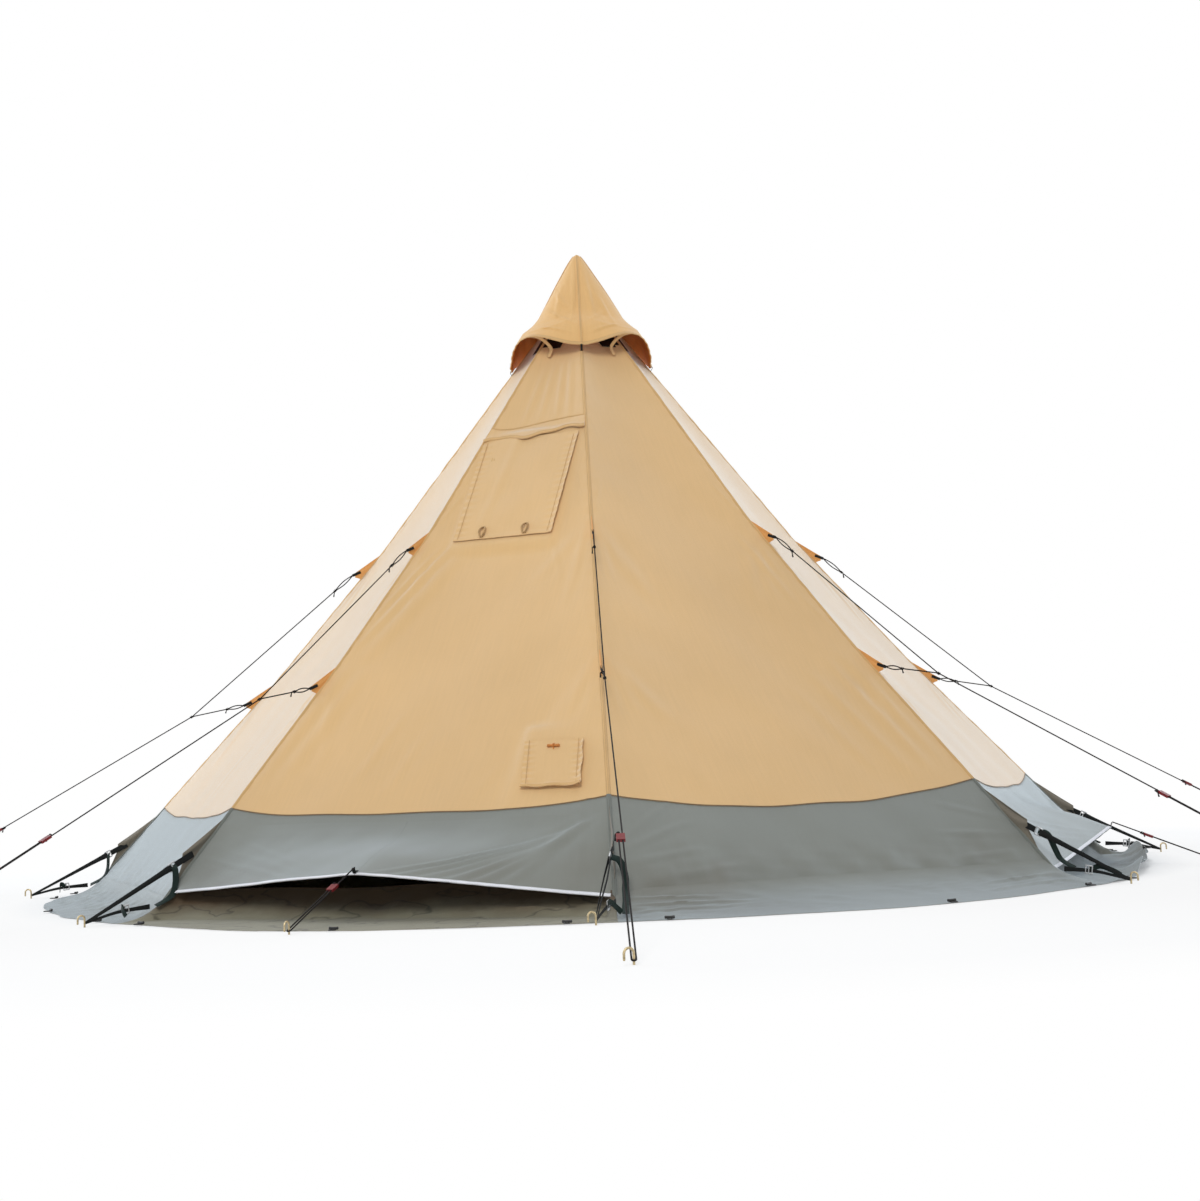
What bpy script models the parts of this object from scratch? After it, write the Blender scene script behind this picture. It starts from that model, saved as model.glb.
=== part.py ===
"""Eight-sided tipi tent with one centre pole, modelled in metres, +Z up.

The origin is on the ground under the centre pole. Corner 1 faces -Y, and corners and facets
are numbered anticlockwise seen from above: facet 1 lies between corner 1 and corner 2.
"""

from math import cos, pi, radians, sin

import bmesh
import bpy
from mathutils import Vector

# Overall form. Radii are measured at the corner seams
SIDES = 8
BASE_R = 2.500
LOWER_TAB_R = 1.563
LOWER_TAB_Z = 1.000
UPPER_TAB_R = 1.021
UPPER_TAB_Z = 1.625
NECK_R = 0.340
NECK_Z = 2.512
BAND_Z = 0.410
CLOTH_T = 0.0070
SEAM_GAP = 0.0003
TOUCH = 0.0004
CUT_REACH = 0.050

# Top vents under the rain cap, one at every second corner
TOP_VENT_LOW_Z = 2.450
TOP_VENT_HIGH_Z = 2.680
TOP_VENT_HALF_W = 0.085

# Rain cap
CAP_TIP_Z = 3.120
CAP_TIP_R = 0.022
CAP_SHOULDER_R = 0.226
CAP_SHOULDER_Z = 2.755
CAP_FLARE_R = 0.318
CAP_FLARE_Z = 2.672
CAP_CORNER_R = 0.352
CAP_CORNER_Z = 2.524
CAP_ARCH_R = 0.385
CAP_ARCH_Z = 2.618
CAP_T = 0.006
CAP_AROUND = 32

# Centre pole
POLE_R = 0.019
POLE_FOOT_R = 0.050
POLE_FOOT_H = 0.012
POLE_CUP_R = 0.026
POLE_CUP_H = 0.060
POLE_JOINT_Z = 1.450
POLE_SPIGOT_R = 0.0165
POLE_SPIGOT_L = 0.120
POLE_HEAD_R = 0.060
POLE_HEAD_H = 0.030
POLE_TIP_R = 0.010
POLE_KNOB_R = 0.014
POLE_WALL = 0.0022

# Wall vents
VENT_FACETS = (2, 4, 6, 8)
OPEN_VENTS = (2, 8)
HINGE_DROP = 0.062
FLAP_L = 0.440
FLAP_TIP_HALF_W = 0.130
FLAP_SWING = radians(25.0)
FLAP_CLEAR = 0.004
POST_W = 0.050
GUSSET_FOOT_Z = 0.040
PULL_TAB_W = 0.030
PULL_TAB_H = 0.022
PULL_TAB_T = 0.004
SILL_Z = 0.110
SILL_SETBACK = 0.010
SILL_END_GAP = 0.030

# Snow skirt on the ground
SKIRT_T = 0.003
SKIRT_IN_R = 2.400
SKIRT_CORNER_R = 2.700
SKIRT_MID_R = 2.760

# Door in facet 5
DOOR_FACET = 5
DOOR_SILL_Z = 0.035
DOOR_TOP_Z = 0.925
DOOR_BOTTOM_HALF_W = 0.520
DOOR_TOP_HALF_W = 0.330
DOOR_CLEAR = 0.004
ZIP_W = 0.012
ZIP_L = 0.034
ZIP_T = 0.006
ZIP_START = 0.080

# Pipe hatch and small hatch in facet 8
HATCH_FACET = 8
PIPE_FLAP_W = 0.480
PIPE_FLAP_LOW_Z = 1.550
PIPE_FLAP_TOP_Z = 2.070
PIPE_FLAP_SHIFT = -0.015
PIPE_HOLE_W = 0.330
PIPE_HOLE_H = 0.440
SMALL_FLAP_W = 0.245
SMALL_FLAP_H = 0.240
SMALL_FLAP_LOW_Z = 0.445
SMALL_FLAP_SHIFT = 0.475
SMALL_HOLE_W = 0.165
SMALL_HOLE_H = 0.165
HATCH_T = 0.004
HOOD_H = 0.055
HOOD_T = 0.009
HOOD_CLEAR = 0.004

# Guy tabs on the corner seams
TAB_T = 0.004
TAB_SEAM_L = 0.128
TAB_OUT = 0.055
TAB_DROP = 0.105
TAB_TIP = 0.022

# Guylines
CORD_D = 0.0032
CORD_SIDES = 8
STRAND_GAP = 0.0124
BRIDLE_R = 1.975
BRIDLE_Z = 0.850
GUY_PEG_R = 3.500
FRONT_GUY_PEG_R = 3.950
LOOP_Z = 0.014
SLIDER_SHARE = 0.62
FRONT_SLIDER_SHARE = 0.66
KNOT_R = 0.0048
KNOT_L = 0.0110
VENT_PEG_R = 2.850
VENT_SLIDER_SHARE = 0.34

# Line sliders
SLIDER_L = 0.042
SLIDER_W = 0.027
SLIDER_T = 0.010
SLIDER_HOLE_R = 0.0023

# Ground pegs, cut at the ground
PEG_D = 0.0070
PEG_STEM = 0.030
PEG_HOOK_R = 0.0140
PEG_TAIL = 0.018
PEG_SIDES = 8

# Corner straps
FIN_T = 0.004
FIN_TOP_Z = 0.385
FIN_LOW_Z = 0.110
FIN_TIP_R = 2.345
FIN_TIP_Z = 0.230
STRAP_W = 0.025
STRAP_T = 0.0025
STRAP_PEG_R = 2.765
LOW_STRAP_Z = 0.030
BUCKLE_W = 0.034
BUCKLE_L = 0.030
BUCKLE_T = 0.008
BUCKLE_SHARE = 0.10
STRAP_TAIL_L = 0.120

HALF = pi / SIDES
WALL_RUN = (BASE_R - LOWER_TAB_R) / LOWER_TAB_Z
HINGE_Z = BAND_Z - HINGE_DROP
CAP_CEILING_Z = CAP_TIP_Z - CAP_TIP_R / 2 - CAP_T
STRAND_SIDE = STRAND_GAP / 2

COLOURS = {
    "canvas": ((0.66, 0.47, 0.26, 1.0), 0.85, 0.0),
    "wall": ((0.26, 0.27, 0.25, 1.0), 0.80, 0.0),
    "skirt": ((0.20, 0.17, 0.13, 1.0), 0.75, 0.0),
    "webbing": ((0.02, 0.03, 0.03, 1.0), 0.70, 0.0),
    "cord": ((0.05, 0.04, 0.035, 1.0), 0.75, 0.0),
    "slider": ((0.50, 0.02, 0.04, 1.0), 0.35, 0.6),
    "peg": ((0.55, 0.38, 0.12, 1.0), 0.40, 0.9),
    "pole": ((0.60, 0.60, 0.62, 1.0), 0.35, 1.0),
    "plastic": ((0.03, 0.03, 0.03, 1.0), 0.50, 0.0),
    "zip": ((0.08, 0.08, 0.08, 1.0), 0.40, 0.8),
}


def material(slot):
    """The material of one slot, made once."""
    found = bpy.data.materials.get(slot)
    if found:
        return found
    colour, roughness, metallic = COLOURS[slot]
    made = bpy.data.materials.new(slot)
    made.use_nodes = True
    shader = made.node_tree.nodes["Principled BSDF"]
    shader.inputs["Base Color"].default_value = colour
    shader.inputs["Roughness"].default_value = roughness
    shader.inputs["Metallic"].default_value = metallic
    made.diffuse_color = colour
    return made


def add_object(name, mesh, slot):
    """Links a mesh as a named object with one material."""
    mesh.materials.append(material(slot))
    made = bpy.data.objects.new(name, mesh)
    bpy.context.scene.collection.objects.link(made)
    return made


def mesh_object(name, points, faces, slot, smooth=False):
    """An object from points and faces, its faces turned outwards."""
    mesh = bpy.data.meshes.new(name)
    mesh.from_pydata([tuple(point) for point in points], [], faces)
    work = bmesh.new()
    work.from_mesh(mesh)
    bmesh.ops.recalc_face_normals(work, faces=work.faces)
    if work.calc_volume(signed=True) < 0:
        bmesh.ops.reverse_faces(work, faces=work.faces)
    work.to_mesh(mesh)
    work.free()
    if smooth:
        mesh.shade_smooth()
        mesh.set_sharp_from_angle(angle=radians(40))
    return add_object(name, mesh, slot)


def combine(target, tool, operation):
    """A Boolean with a tool that is then hidden from the render."""
    step = target.modifiers.new(operation.lower(), "BOOLEAN")
    step.operation = operation
    step.solver = "EXACT"
    step.object = tool
    tool.hide_render = True
    tool.display_type = "WIRE"


def turn(angle):
    """Unit vectors out and along for a direction round the tent, 0 facing -Y."""
    return Vector((sin(angle), -cos(angle), 0.0)), Vector((cos(angle), sin(angle), 0.0))


def corner_angle(corner):
    return (corner - 1) * 2 * HALF


def facet_angle(facet):
    return corner_angle(facet) + HALF


def at_corner(corner, radius, height, aside=0.0):
    """A point in a corner's upright plane, aside along the tangent."""
    out, along = turn(corner_angle(corner))
    return out * radius + along * aside + Vector((0.0, 0.0, height))


def seam_radius(height):
    """Radius of the corner seams at a height."""
    knots = ((BASE_R, 0.0), (LOWER_TAB_R, LOWER_TAB_Z), (UPPER_TAB_R, UPPER_TAB_Z), (NECK_R, NECK_Z))
    for (r0, z0), (r1, z1) in zip(knots, knots[1:]):
        if height <= z1:
            break
    return r0 + (r1 - r0) * (height - z0) / (z1 - z0)


def plane_of(facet, low_z, high_z):
    """Origin, along, up-slope and outward normal of a facet's flat stretch between two heights."""
    out, along = turn(facet_angle(facet))
    low = out * (seam_radius(low_z) * cos(HALF)) + Vector((0.0, 0.0, low_z))
    high = out * (seam_radius(high_z) * cos(HALF)) + Vector((0.0, 0.0, high_z))
    rise = (high - low).normalized()
    return low, along, rise, along.cross(rise)


def prism(name, outline, normal, depth, slot):
    """A flat plate: an outline pushed along a normal."""
    count = len(outline)
    points = [Vector(point) for point in outline] + [Vector(point) + normal * depth for point in outline]
    faces = [list(range(count)), list(range(count, 2 * count))]
    faces += [[i, (i + 1) % count, count + (i + 1) % count, count + i] for i in range(count)]
    return mesh_object(name, points, faces, slot)


def block(name, centre, axes, sizes, slot):
    """A box with its own three axes."""
    x, y, z = (Vector(axis) * size / 2 for axis, size in zip(axes, sizes))
    outline = [centre - x - y - z, centre + x - y - z, centre + x + y - z, centre - x + y - z]
    return prism(name, outline, Vector(axes[2]), sizes[2], slot)


def tube(name, path, radius, sides, slot):
    """A closed round tube along a path."""
    path = [Vector(point) for point in path]
    steps = [(b - a).normalized() for a, b in zip(path, path[1:])]
    directions = [steps[0]]
    directions += [(a + b).normalized() for a, b in zip(steps, steps[1:])]
    directions.append(steps[-1])
    side = directions[0].orthogonal().normalized()
    points = []
    for place, direction in zip(path, directions):
        side = (side - direction * side.dot(direction)).normalized()
        other = direction.cross(side)
        for i in range(sides):
            angle = 2 * pi * i / sides
            points.append(place + (side * cos(angle) + other * sin(angle)) * radius)
    rings = len(path)
    faces = [list(range(sides)), list(range((rings - 1) * sides, rings * sides))]
    for ring in range(rings - 1):
        for i in range(sides):
            a = ring * sides + i
            b = ring * sides + (i + 1) % sides
            faces.append([a, b, b + sides, a + sides])
    return mesh_object(name, points, faces, slot, smooth=True)


def barrel_knot(name, centre, axis):
    """A small barrel-shaped knot of cord, flat at both ends."""
    steps = ((-1.0, 0.7), (-0.5, 1.0), (0.5, 1.0), (1.0, 0.7))
    path = [centre + axis * KNOT_L / 2 * reach for reach, _ in steps]
    knot = tube(name, path, KNOT_R, CORD_SIDES, "cord")
    for ring, (_, width) in enumerate(steps):
        for vertex in knot.data.vertices[ring * CORD_SIDES:(ring + 1) * CORD_SIDES]:
            vertex.co = path[ring] + (vertex.co - path[ring]) * width
    return knot


def turned(name, profile, slot, around=24):
    """A solid turned about +Z from a profile of (radius, height), bottom to top, closed on the axis."""
    points = []
    for radius, height in profile:
        for i in range(around):
            angle = 2 * pi * i / around
            points.append(Vector((radius * cos(angle), radius * sin(angle), height)))
    rings = len(profile)
    faces = [list(range(around)), list(range((rings - 1) * around, rings * around))]
    for ring in range(rings - 1):
        for i in range(around):
            a = ring * around + i
            b = ring * around + (i + 1) % around
            faces.append([a, b, b + around, a + around])
    return mesh_object(name, points, faces, slot, smooth=True)


def shell_strip(name, facet, levels, slot):
    """One facet's cloth as a closed solid between heights, mitred at both seams."""
    out, along = turn(facet_angle(facet))
    points = []
    for radius, height in levels:
        for depth in (0.0, CLOTH_T):
            inner = radius - depth / cos(HALF)
            for side in (-1, 1):
                place = out * (inner * cos(HALF)) + along * side * (inner * sin(HALF) - SEAM_GAP)
                points.append(place + Vector((0.0, 0.0, height)))
    faces = []
    for level in range(len(levels) - 1):
        a = level * 4
        faces.append([a, a + 1, a + 5, a + 4])
        faces.append([a + 2, a + 3, a + 7, a + 6])
        faces.append([a, a + 2, a + 6, a + 4])
        faces.append([a + 1, a + 3, a + 7, a + 5])
    last = (len(levels) - 1) * 4
    faces.append([0, 1, 3, 2])
    faces.append([last, last + 1, last + 3, last + 2])
    return mesh_object(name, points, faces, slot)


def tab_outline(corner, radius, height):
    """A triangular guy tab in the corner's upright plane, rooted in the cloth."""
    root = CLOTH_T * 0.6
    low_z = height - TAB_SEAM_L
    aside = SEAM_GAP * 2
    tip_r, tip_z = tab_end(height)
    return [
        at_corner(corner, radius - root, height, aside),
        at_corner(corner, seam_radius(low_z) - root, low_z, aside),
        at_corner(corner, tip_r, tip_z - TAB_TIP / 2, aside),
        at_corner(corner, tip_r, tip_z + TAB_TIP / 2, aside),
    ]


def tab_end(height):
    """Radius and height of a guy tab's tip."""
    tip_z = height - TAB_DROP
    return seam_radius(tip_z) + TAB_OUT, tip_z


def tab_tip(corner, height):
    """Where the guyline is tied to a tab, just past its tip."""
    tip_r, tip_z = tab_end(height)
    return at_corner(corner, tip_r + KNOT_L / 2 + TOUCH, tip_z, SEAM_GAP * 2 + TAB_T / 2)


def add_tabs(panel, corner):
    """Two guy tabs sewn to the panel that starts at a corner."""
    _, along = turn(corner_angle(corner))
    for level, radius, height in (("lower", LOWER_TAB_R, LOWER_TAB_Z), ("upper", UPPER_TAB_R, UPPER_TAB_Z)):
        outline = tab_outline(corner, radius, height)
        tool = prism(f"{level}_tab_tool_{corner}", outline, along, TAB_T, "canvas")
        combine(panel, tool, "UNION")


def door_outline(hinge_clear, clear, low_z, high_z):
    """The door's corners on the outer face, less a clearance at the hinge and at the zip."""
    out, along = turn(facet_angle(DOOR_FACET))
    share_slope = (DOOR_TOP_HALF_W - DOOR_BOTTOM_HALF_W) / (DOOR_TOP_Z - DOOR_SILL_Z)
    corners = []
    for height, sides in ((low_z, (-1, 1)), (high_z, (1, -1))):
        half = DOOR_BOTTOM_HALF_W + share_slope * (height - DOOR_SILL_Z)
        centre = out * (seam_radius(height) * cos(HALF)) + Vector((0.0, 0.0, height))
        for side in sides:
            corners.append(centre + along * side * (half - (clear if side > 0 else hinge_clear)))
    return corners


def cut_door(target, name, grow):
    """Cuts the doorway out of a cloth solid."""
    _, _, _, normal = plane_of(DOOR_FACET, DOOR_SILL_Z, DOOR_TOP_Z)
    outline = [point - normal * grow for point in door_outline(0.0, 0.0, DOOR_SILL_Z, DOOR_TOP_Z)]
    tool = prism(name, outline, normal, 2 * grow, "canvas")
    combine(target, tool, "DIFFERENCE")


def hatch_frame(low_z, high_z, shift):
    """Lower middle point, along, up-slope and normal of a hatch that spans two heights of its facet."""
    low, along, rise, normal = plane_of(HATCH_FACET, low_z, high_z)
    return low + along * shift, along, rise, normal


def pipe_hatch_frame():
    """The pipe hatch's frame and its flap's height along the slope."""
    frame = hatch_frame(PIPE_FLAP_LOW_Z, PIPE_FLAP_TOP_Z, PIPE_FLAP_SHIFT)
    return frame, (PIPE_FLAP_TOP_Z - PIPE_FLAP_LOW_Z) / frame[2].z


def small_hatch_frame():
    return hatch_frame(SMALL_FLAP_LOW_Z, LOWER_TAB_Z, SMALL_FLAP_SHIFT)


def hatch_hole(panel, name, frame, flap_h, hole_w, hole_h):
    """Cuts a hatch's hole, centred under its flap."""
    low, along, rise, normal = frame
    centre = low + rise * flap_h / 2
    tool = block(name, centre, (along, rise, normal), (hole_w, hole_h, 2 * CUT_REACH), "canvas")
    combine(panel, tool, "DIFFERENCE")


def hatch_flap(name, frame, width, height):
    """A flat flap lying on the cloth."""
    low, along, rise, normal = frame
    centre = low + rise * height / 2 + normal * (TOUCH + HATCH_T / 2)
    return block(name, centre, (along, rise, normal), (width, height, HATCH_T), "canvas")


def add_hood(panel):
    """The rain hood's stiff hem above the pipe hatch, sewn to the panel."""
    low, along, rise, normal = hatch_frame(PIPE_FLAP_TOP_Z, NECK_Z, 0.0)
    centre = low + rise * (HOOD_CLEAR + HOOD_H / 2) + normal * (HOOD_T / 2 - CLOTH_T / 4)
    top_z = PIPE_FLAP_TOP_Z + (HOOD_CLEAR + HOOD_H) * rise.z
    width = 2 * (seam_radius(top_z) * sin(HALF) - CLOTH_T)
    tool = block("hood_tool", centre, (along, rise, normal), (width, HOOD_H, HOOD_T), "canvas")
    combine(panel, tool, "UNION")


def neck_levels():
    """The canvas levels from the band to the pole head."""
    head_r = (POLE_HEAD_R + TOUCH + CLOTH_T) / cos(HALF)
    head_z = NECK_Z + (NECK_R - head_r) * (NECK_Z - UPPER_TAB_Z) / (UPPER_TAB_R - NECK_R)
    return [
        (seam_radius(BAND_Z) - SEAM_GAP * WALL_RUN, BAND_Z + SEAM_GAP),
        (LOWER_TAB_R, LOWER_TAB_Z),
        (UPPER_TAB_R, UPPER_TAB_Z),
        (NECK_R, NECK_Z),
        (head_r, head_z),
    ]


def canvas_panels():
    """Eight canvas gores with their guy tabs, top vents, hatches and doorway."""
    height = TOP_VENT_HIGH_Z - TOP_VENT_LOW_Z
    for facet in range(1, SIDES + 1):
        panel = shell_strip(f"canvas_panel_{facet}", facet, neck_levels(), "canvas")
        add_tabs(panel, facet)
        vent_corner = facet if facet % 2 == 0 else facet % SIDES + 1
        out, along = turn(corner_angle(vent_corner))
        centre = out * NECK_R + Vector((0.0, 0.0, TOP_VENT_LOW_Z + height / 2))
        sizes = (2 * NECK_R, 2 * TOP_VENT_HALF_W, height)
        axes = (out, along, Vector((0.0, 0.0, 1.0)))
        tool = block(f"top_vent_tool_{facet}", centre, axes, sizes, "canvas")
        combine(panel, tool, "DIFFERENCE")
        if facet == DOOR_FACET:
            cut_door(panel, "canvas_door_tool", CUT_REACH)
        if facet == HATCH_FACET:
            pipe, pipe_h = pipe_hatch_frame()
            small = small_hatch_frame()
            hatch_hole(panel, "pipe_hole_tool", pipe, pipe_h, PIPE_HOLE_W, PIPE_HOLE_H)
            hatch_hole(panel, "small_hole_tool", small, SMALL_FLAP_H, SMALL_HOLE_W, SMALL_HOLE_H)
            add_hood(panel)


def hatches():
    pipe, pipe_h = pipe_hatch_frame()
    hatch_flap("pipe_hatch_flap", pipe, PIPE_FLAP_W, pipe_h)
    hatch_flap("small_hatch_flap", small_hatch_frame(), SMALL_FLAP_W, SMALL_FLAP_H)


def cap_point(angle, share, inner):
    """A point of the rain cap: share 0 at the tip, 1 at the rim."""
    arch = sin(2 * angle) ** 2
    rim_r = CAP_CORNER_R + (CAP_ARCH_R - CAP_CORNER_R) * arch
    rim_z = CAP_CORNER_Z + (CAP_ARCH_Z - CAP_CORNER_Z) * arch
    knots = [
        (CAP_TIP_R, CAP_CEILING_Z + CAP_T),
        ((CAP_TIP_R + CAP_SHOULDER_R) / 2, (CAP_TIP_Z + CAP_SHOULDER_Z) / 2),
        (CAP_SHOULDER_R, CAP_SHOULDER_Z),
        (CAP_FLARE_R, CAP_FLARE_Z),
        (rim_r, rim_z),
    ]
    radius, height = knots[share]
    if inner:
        radius -= CAP_T
        height -= 0.0 if share == len(knots) - 1 else CAP_T
    out, _ = turn(angle)
    return out * radius + Vector((0.0, 0.0, height))


def rain_cap():
    """The bell-shaped cap: four corners down on the seams, four arches over the top vents."""
    rings = 5
    points = []
    for inner in (False, True):
        for share in range(rings):
            for i in range(CAP_AROUND):
                points.append(cap_point(2 * pi * i / CAP_AROUND, share, inner))
    points.append(Vector((0.0, 0.0, CAP_TIP_Z)))
    points.append(Vector((0.0, 0.0, CAP_CEILING_Z)))
    half = rings * CAP_AROUND
    faces = []
    for layer in (0, half):
        for ring in range(rings - 1):
            for i in range(CAP_AROUND):
                a = layer + ring * CAP_AROUND + i
                b = layer + ring * CAP_AROUND + (i + 1) % CAP_AROUND
                faces.append([a, b, b + CAP_AROUND, a + CAP_AROUND])
        tip = len(points) - (2 if layer == 0 else 1)
        faces += [[layer + i, layer + (i + 1) % CAP_AROUND, tip] for i in range(CAP_AROUND)]
    rim = (rings - 1) * CAP_AROUND
    for i in range(CAP_AROUND):
        a = rim + i
        b = rim + (i + 1) % CAP_AROUND
        faces.append([a, b, half + b, half + a])
    mesh_object("rain_cap", points, faces, "canvas", smooth=True)


def pole():
    """Foot, lower tube and upper tube with the head that carries the canvas and the cap."""
    cup_floor = POLE_FOOT_H
    cup_in = POLE_R + TOUCH
    turned(
        "pole_foot",
        [
            (POLE_FOOT_R, 0.0),
            (POLE_FOOT_R, POLE_FOOT_H * 0.6),
            (POLE_CUP_R + 0.004, cup_floor),
            (POLE_CUP_R, POLE_CUP_H),
            (cup_in, POLE_CUP_H),
            (cup_in, cup_floor),
        ],
        "plastic",
    )
    bore_r = POLE_R - POLE_WALL
    depth = POLE_SPIGOT_L + TOUCH
    turned(
        "pole_lower",
        [
            (POLE_R, cup_floor + TOUCH),
            (POLE_R, POLE_JOINT_Z),
            (bore_r, POLE_JOINT_Z),
            (bore_r, POLE_JOINT_Z - depth),
        ],
        "pole",
    )
    _, head_z = neck_levels()[-1]
    knob_top = CAP_CEILING_Z - TOUCH
    turned(
        "pole_upper",
        [
            (POLE_SPIGOT_R, POLE_JOINT_Z - POLE_SPIGOT_L),
            (POLE_SPIGOT_R, POLE_JOINT_Z + TOUCH),
            (POLE_R, POLE_JOINT_Z + TOUCH),
            (POLE_R, head_z - POLE_HEAD_H),
            (POLE_HEAD_R, head_z - POLE_HEAD_H * 0.3),
            (POLE_HEAD_R, head_z + POLE_HEAD_H * 0.4),
            (POLE_HEAD_R * 0.7, head_z + POLE_HEAD_H * 0.7),
            (POLE_TIP_R, head_z + POLE_HEAD_H * 0.8),
            (POLE_TIP_R, knob_top - POLE_KNOB_R * 1.6),
            (POLE_KNOB_R, knob_top - POLE_KNOB_R * 0.9),
            (POLE_KNOB_R * 0.6, knob_top - POLE_KNOB_R * 0.2),
            (POLE_KNOB_R * 0.2, knob_top),
        ],
        "pole",
    )


def wall_levels():
    """The wall's bottom and top levels, standing on the skirt."""
    low_z = SKIRT_T + TOUCH
    return [(seam_radius(low_z), low_z), (seam_radius(BAND_Z), BAND_Z)]


def wall_ring():
    """The octagonal wall as one closed ring."""
    points = []
    for radius, height in wall_levels():
        for depth in (0.0, CLOTH_T):
            inner = radius - depth / cos(HALF)
            for corner in range(1, SIDES + 1):
                points.append(at_corner(corner, inner, height))
    faces = []
    for i in range(SIDES):
        j = (i + 1) % SIDES
        low_out, low_in, high_out, high_in = 0, SIDES, 2 * SIDES, 3 * SIDES
        faces.append([low_out + i, low_out + j, high_out + j, high_out + i])
        faces.append([low_in + i, low_in + j, high_in + j, high_in + i])
        faces.append([low_out + i, low_out + j, low_in + j, low_in + i])
        faces.append([high_out + i, high_out + j, high_in + j, high_in + i])
    return mesh_object("wall_band", points, faces, "wall")


def vent_frame(facet):
    """Hinge middle on the outer face, along, the closed flap's direction and the normal."""
    low, along, rise, normal = plane_of(facet, 0.0, LOWER_TAB_Z)
    hinge = low + rise * (HINGE_Z / rise.z)
    return hinge, along, -rise, normal


def flap_half_width():
    return seam_radius(HINGE_Z) * sin(HALF) - POST_W


def vent_cut(facet, wall):
    """Opens the wall for a vent: the whole bay if it stands open, only the flap's shape if shut."""
    hinge, along, down, normal = vent_frame(facet)
    top_half = flap_half_width()
    if facet in OPEN_VENTS:
        low_half = seam_radius(0.0) * sin(HALF) - POST_W
        length = HINGE_Z / -down.z + CUT_REACH
        low_half += (low_half - top_half) * CUT_REACH / (length - CUT_REACH)
    else:
        low_half = FLAP_TIP_HALF_W
        length = HINGE_Z / -down.z + CUT_REACH
    outline = []
    for half, reach, sides in ((top_half, 0.0, (-1, 1)), (low_half, length, (1, -1))):
        outline += [hinge + along * side * half + down * reach - normal * CUT_REACH for side in sides]
    tool = prism(f"vent_bay_tool_{facet}", outline, normal, 2 * CUT_REACH, "wall")
    combine(wall, tool, "DIFFERENCE")


def open_direction(down, normal):
    """The flap's direction when it is pulled out."""
    return down * cos(FLAP_SWING) + normal * sin(FLAP_SWING)


def vent_gussets(facet, wall):
    """The two side gussets of a vent that stands open, joined to the wall's corner posts."""
    hinge, along, down, normal = vent_frame(facet)
    lifted = open_direction(down, normal)
    top_half = flap_half_width()
    foot_half = seam_radius(GUSSET_FOOT_Z) * sin(HALF) - POST_W
    foot_reach = (HINGE_Z - GUSSET_FOOT_Z) / -down.z
    edge_run = (top_half - FLAP_TIP_HALF_W) / FLAP_L
    aside = 2.5 * FLAP_CLEAR
    for side in (-1, 1):
        top = hinge + along * side * (top_half + POST_W / 3) + down * 0.02
        foot = hinge + along * side * (foot_half + POST_W / 3) + down * foot_reach
        tip_half = FLAP_TIP_HALF_W + aside + edge_run * 0.01
        tip = hinge + along * side * tip_half + lifted * (FLAP_L - 0.01)
        plane = (foot - top).cross(tip - top).normalized() * side
        if plane.dot(normal) < 0:
            plane = -plane
        outline = [point - plane * CLOTH_T * 0.8 for point in (top, foot, tip)]
        tool = prism(f"gusset_tool_{facet}_{side + 1}", outline, plane, CLOTH_T * 0.7, "wall")
        combine(wall, tool, "UNION")


def pull_tab_place(hinge, down):
    """The foot of the pull-out tab on the flap's outer face."""
    return hinge + down * (FLAP_L - PULL_TAB_T)


def vent_flap(facet):
    """The flap that swings on the fold below the canvas, with its pull-out tab."""
    hinge, along, down, normal = vent_frame(facet)
    if facet in OPEN_VENTS:
        lifted = open_direction(down, normal)
        normal = along.cross(-lifted)
        down = lifted
    top_half = flap_half_width() - FLAP_CLEAR
    tip_half = FLAP_TIP_HALF_W - FLAP_CLEAR
    outline = [hinge + along * side * top_half + down * TOUCH for side in (-1, 1)]
    outline += [hinge + along * side * tip_half + down * FLAP_L for side in (1, -1)]
    outline = [point - normal * CLOTH_T for point in outline]
    flap = prism(f"vent_flap_{facet}", outline, normal, CLOTH_T, "wall")
    root = CLOTH_T / 2
    centre = pull_tab_place(hinge, down) + normal * (PULL_TAB_H - root) / 2
    sizes = (PULL_TAB_W, PULL_TAB_T, PULL_TAB_H + root)
    tool = block(f"pull_tab_tool_{facet}", centre, (along, down, normal), sizes, "webbing")
    combine(flap, tool, "UNION")


def wall_and_vents():
    wall = wall_ring()
    cut_door(wall, "wall_door_tool", CUT_REACH)
    for facet in VENT_FACETS:
        vent_cut(facet, wall)
        if facet in OPEN_VENTS:
            vent_gussets(facet, wall)
        vent_flap(facet)


def skirt():
    """The snow skirt, a flat sixteen-sided apron on the ground."""
    points = []
    for height in (0.0, SKIRT_T):
        for radii in ((SKIRT_IN_R, SKIRT_IN_R * cos(HALF)), (SKIRT_CORNER_R, SKIRT_MID_R)):
            for i in range(2 * SIDES):
                out, _ = turn(i * HALF)
                points.append(out * radii[i % 2] + Vector((0.0, 0.0, height)))
    count = 2 * SIDES
    faces = []
    for i in range(count):
        j = (i + 1) % count
        faces.append([i, j, count + j, count + i])
        faces.append([2 * count + i, 2 * count + j, 3 * count + j, 3 * count + i])
        faces.append([i, j, 2 * count + j, 2 * count + i])
        faces.append([count + i, count + j, 3 * count + j, 3 * count + i])
    apron = mesh_object("snow_skirt", points, faces, "skirt")
    for facet in VENT_FACETS:
        vent_sill(facet, apron)


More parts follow.
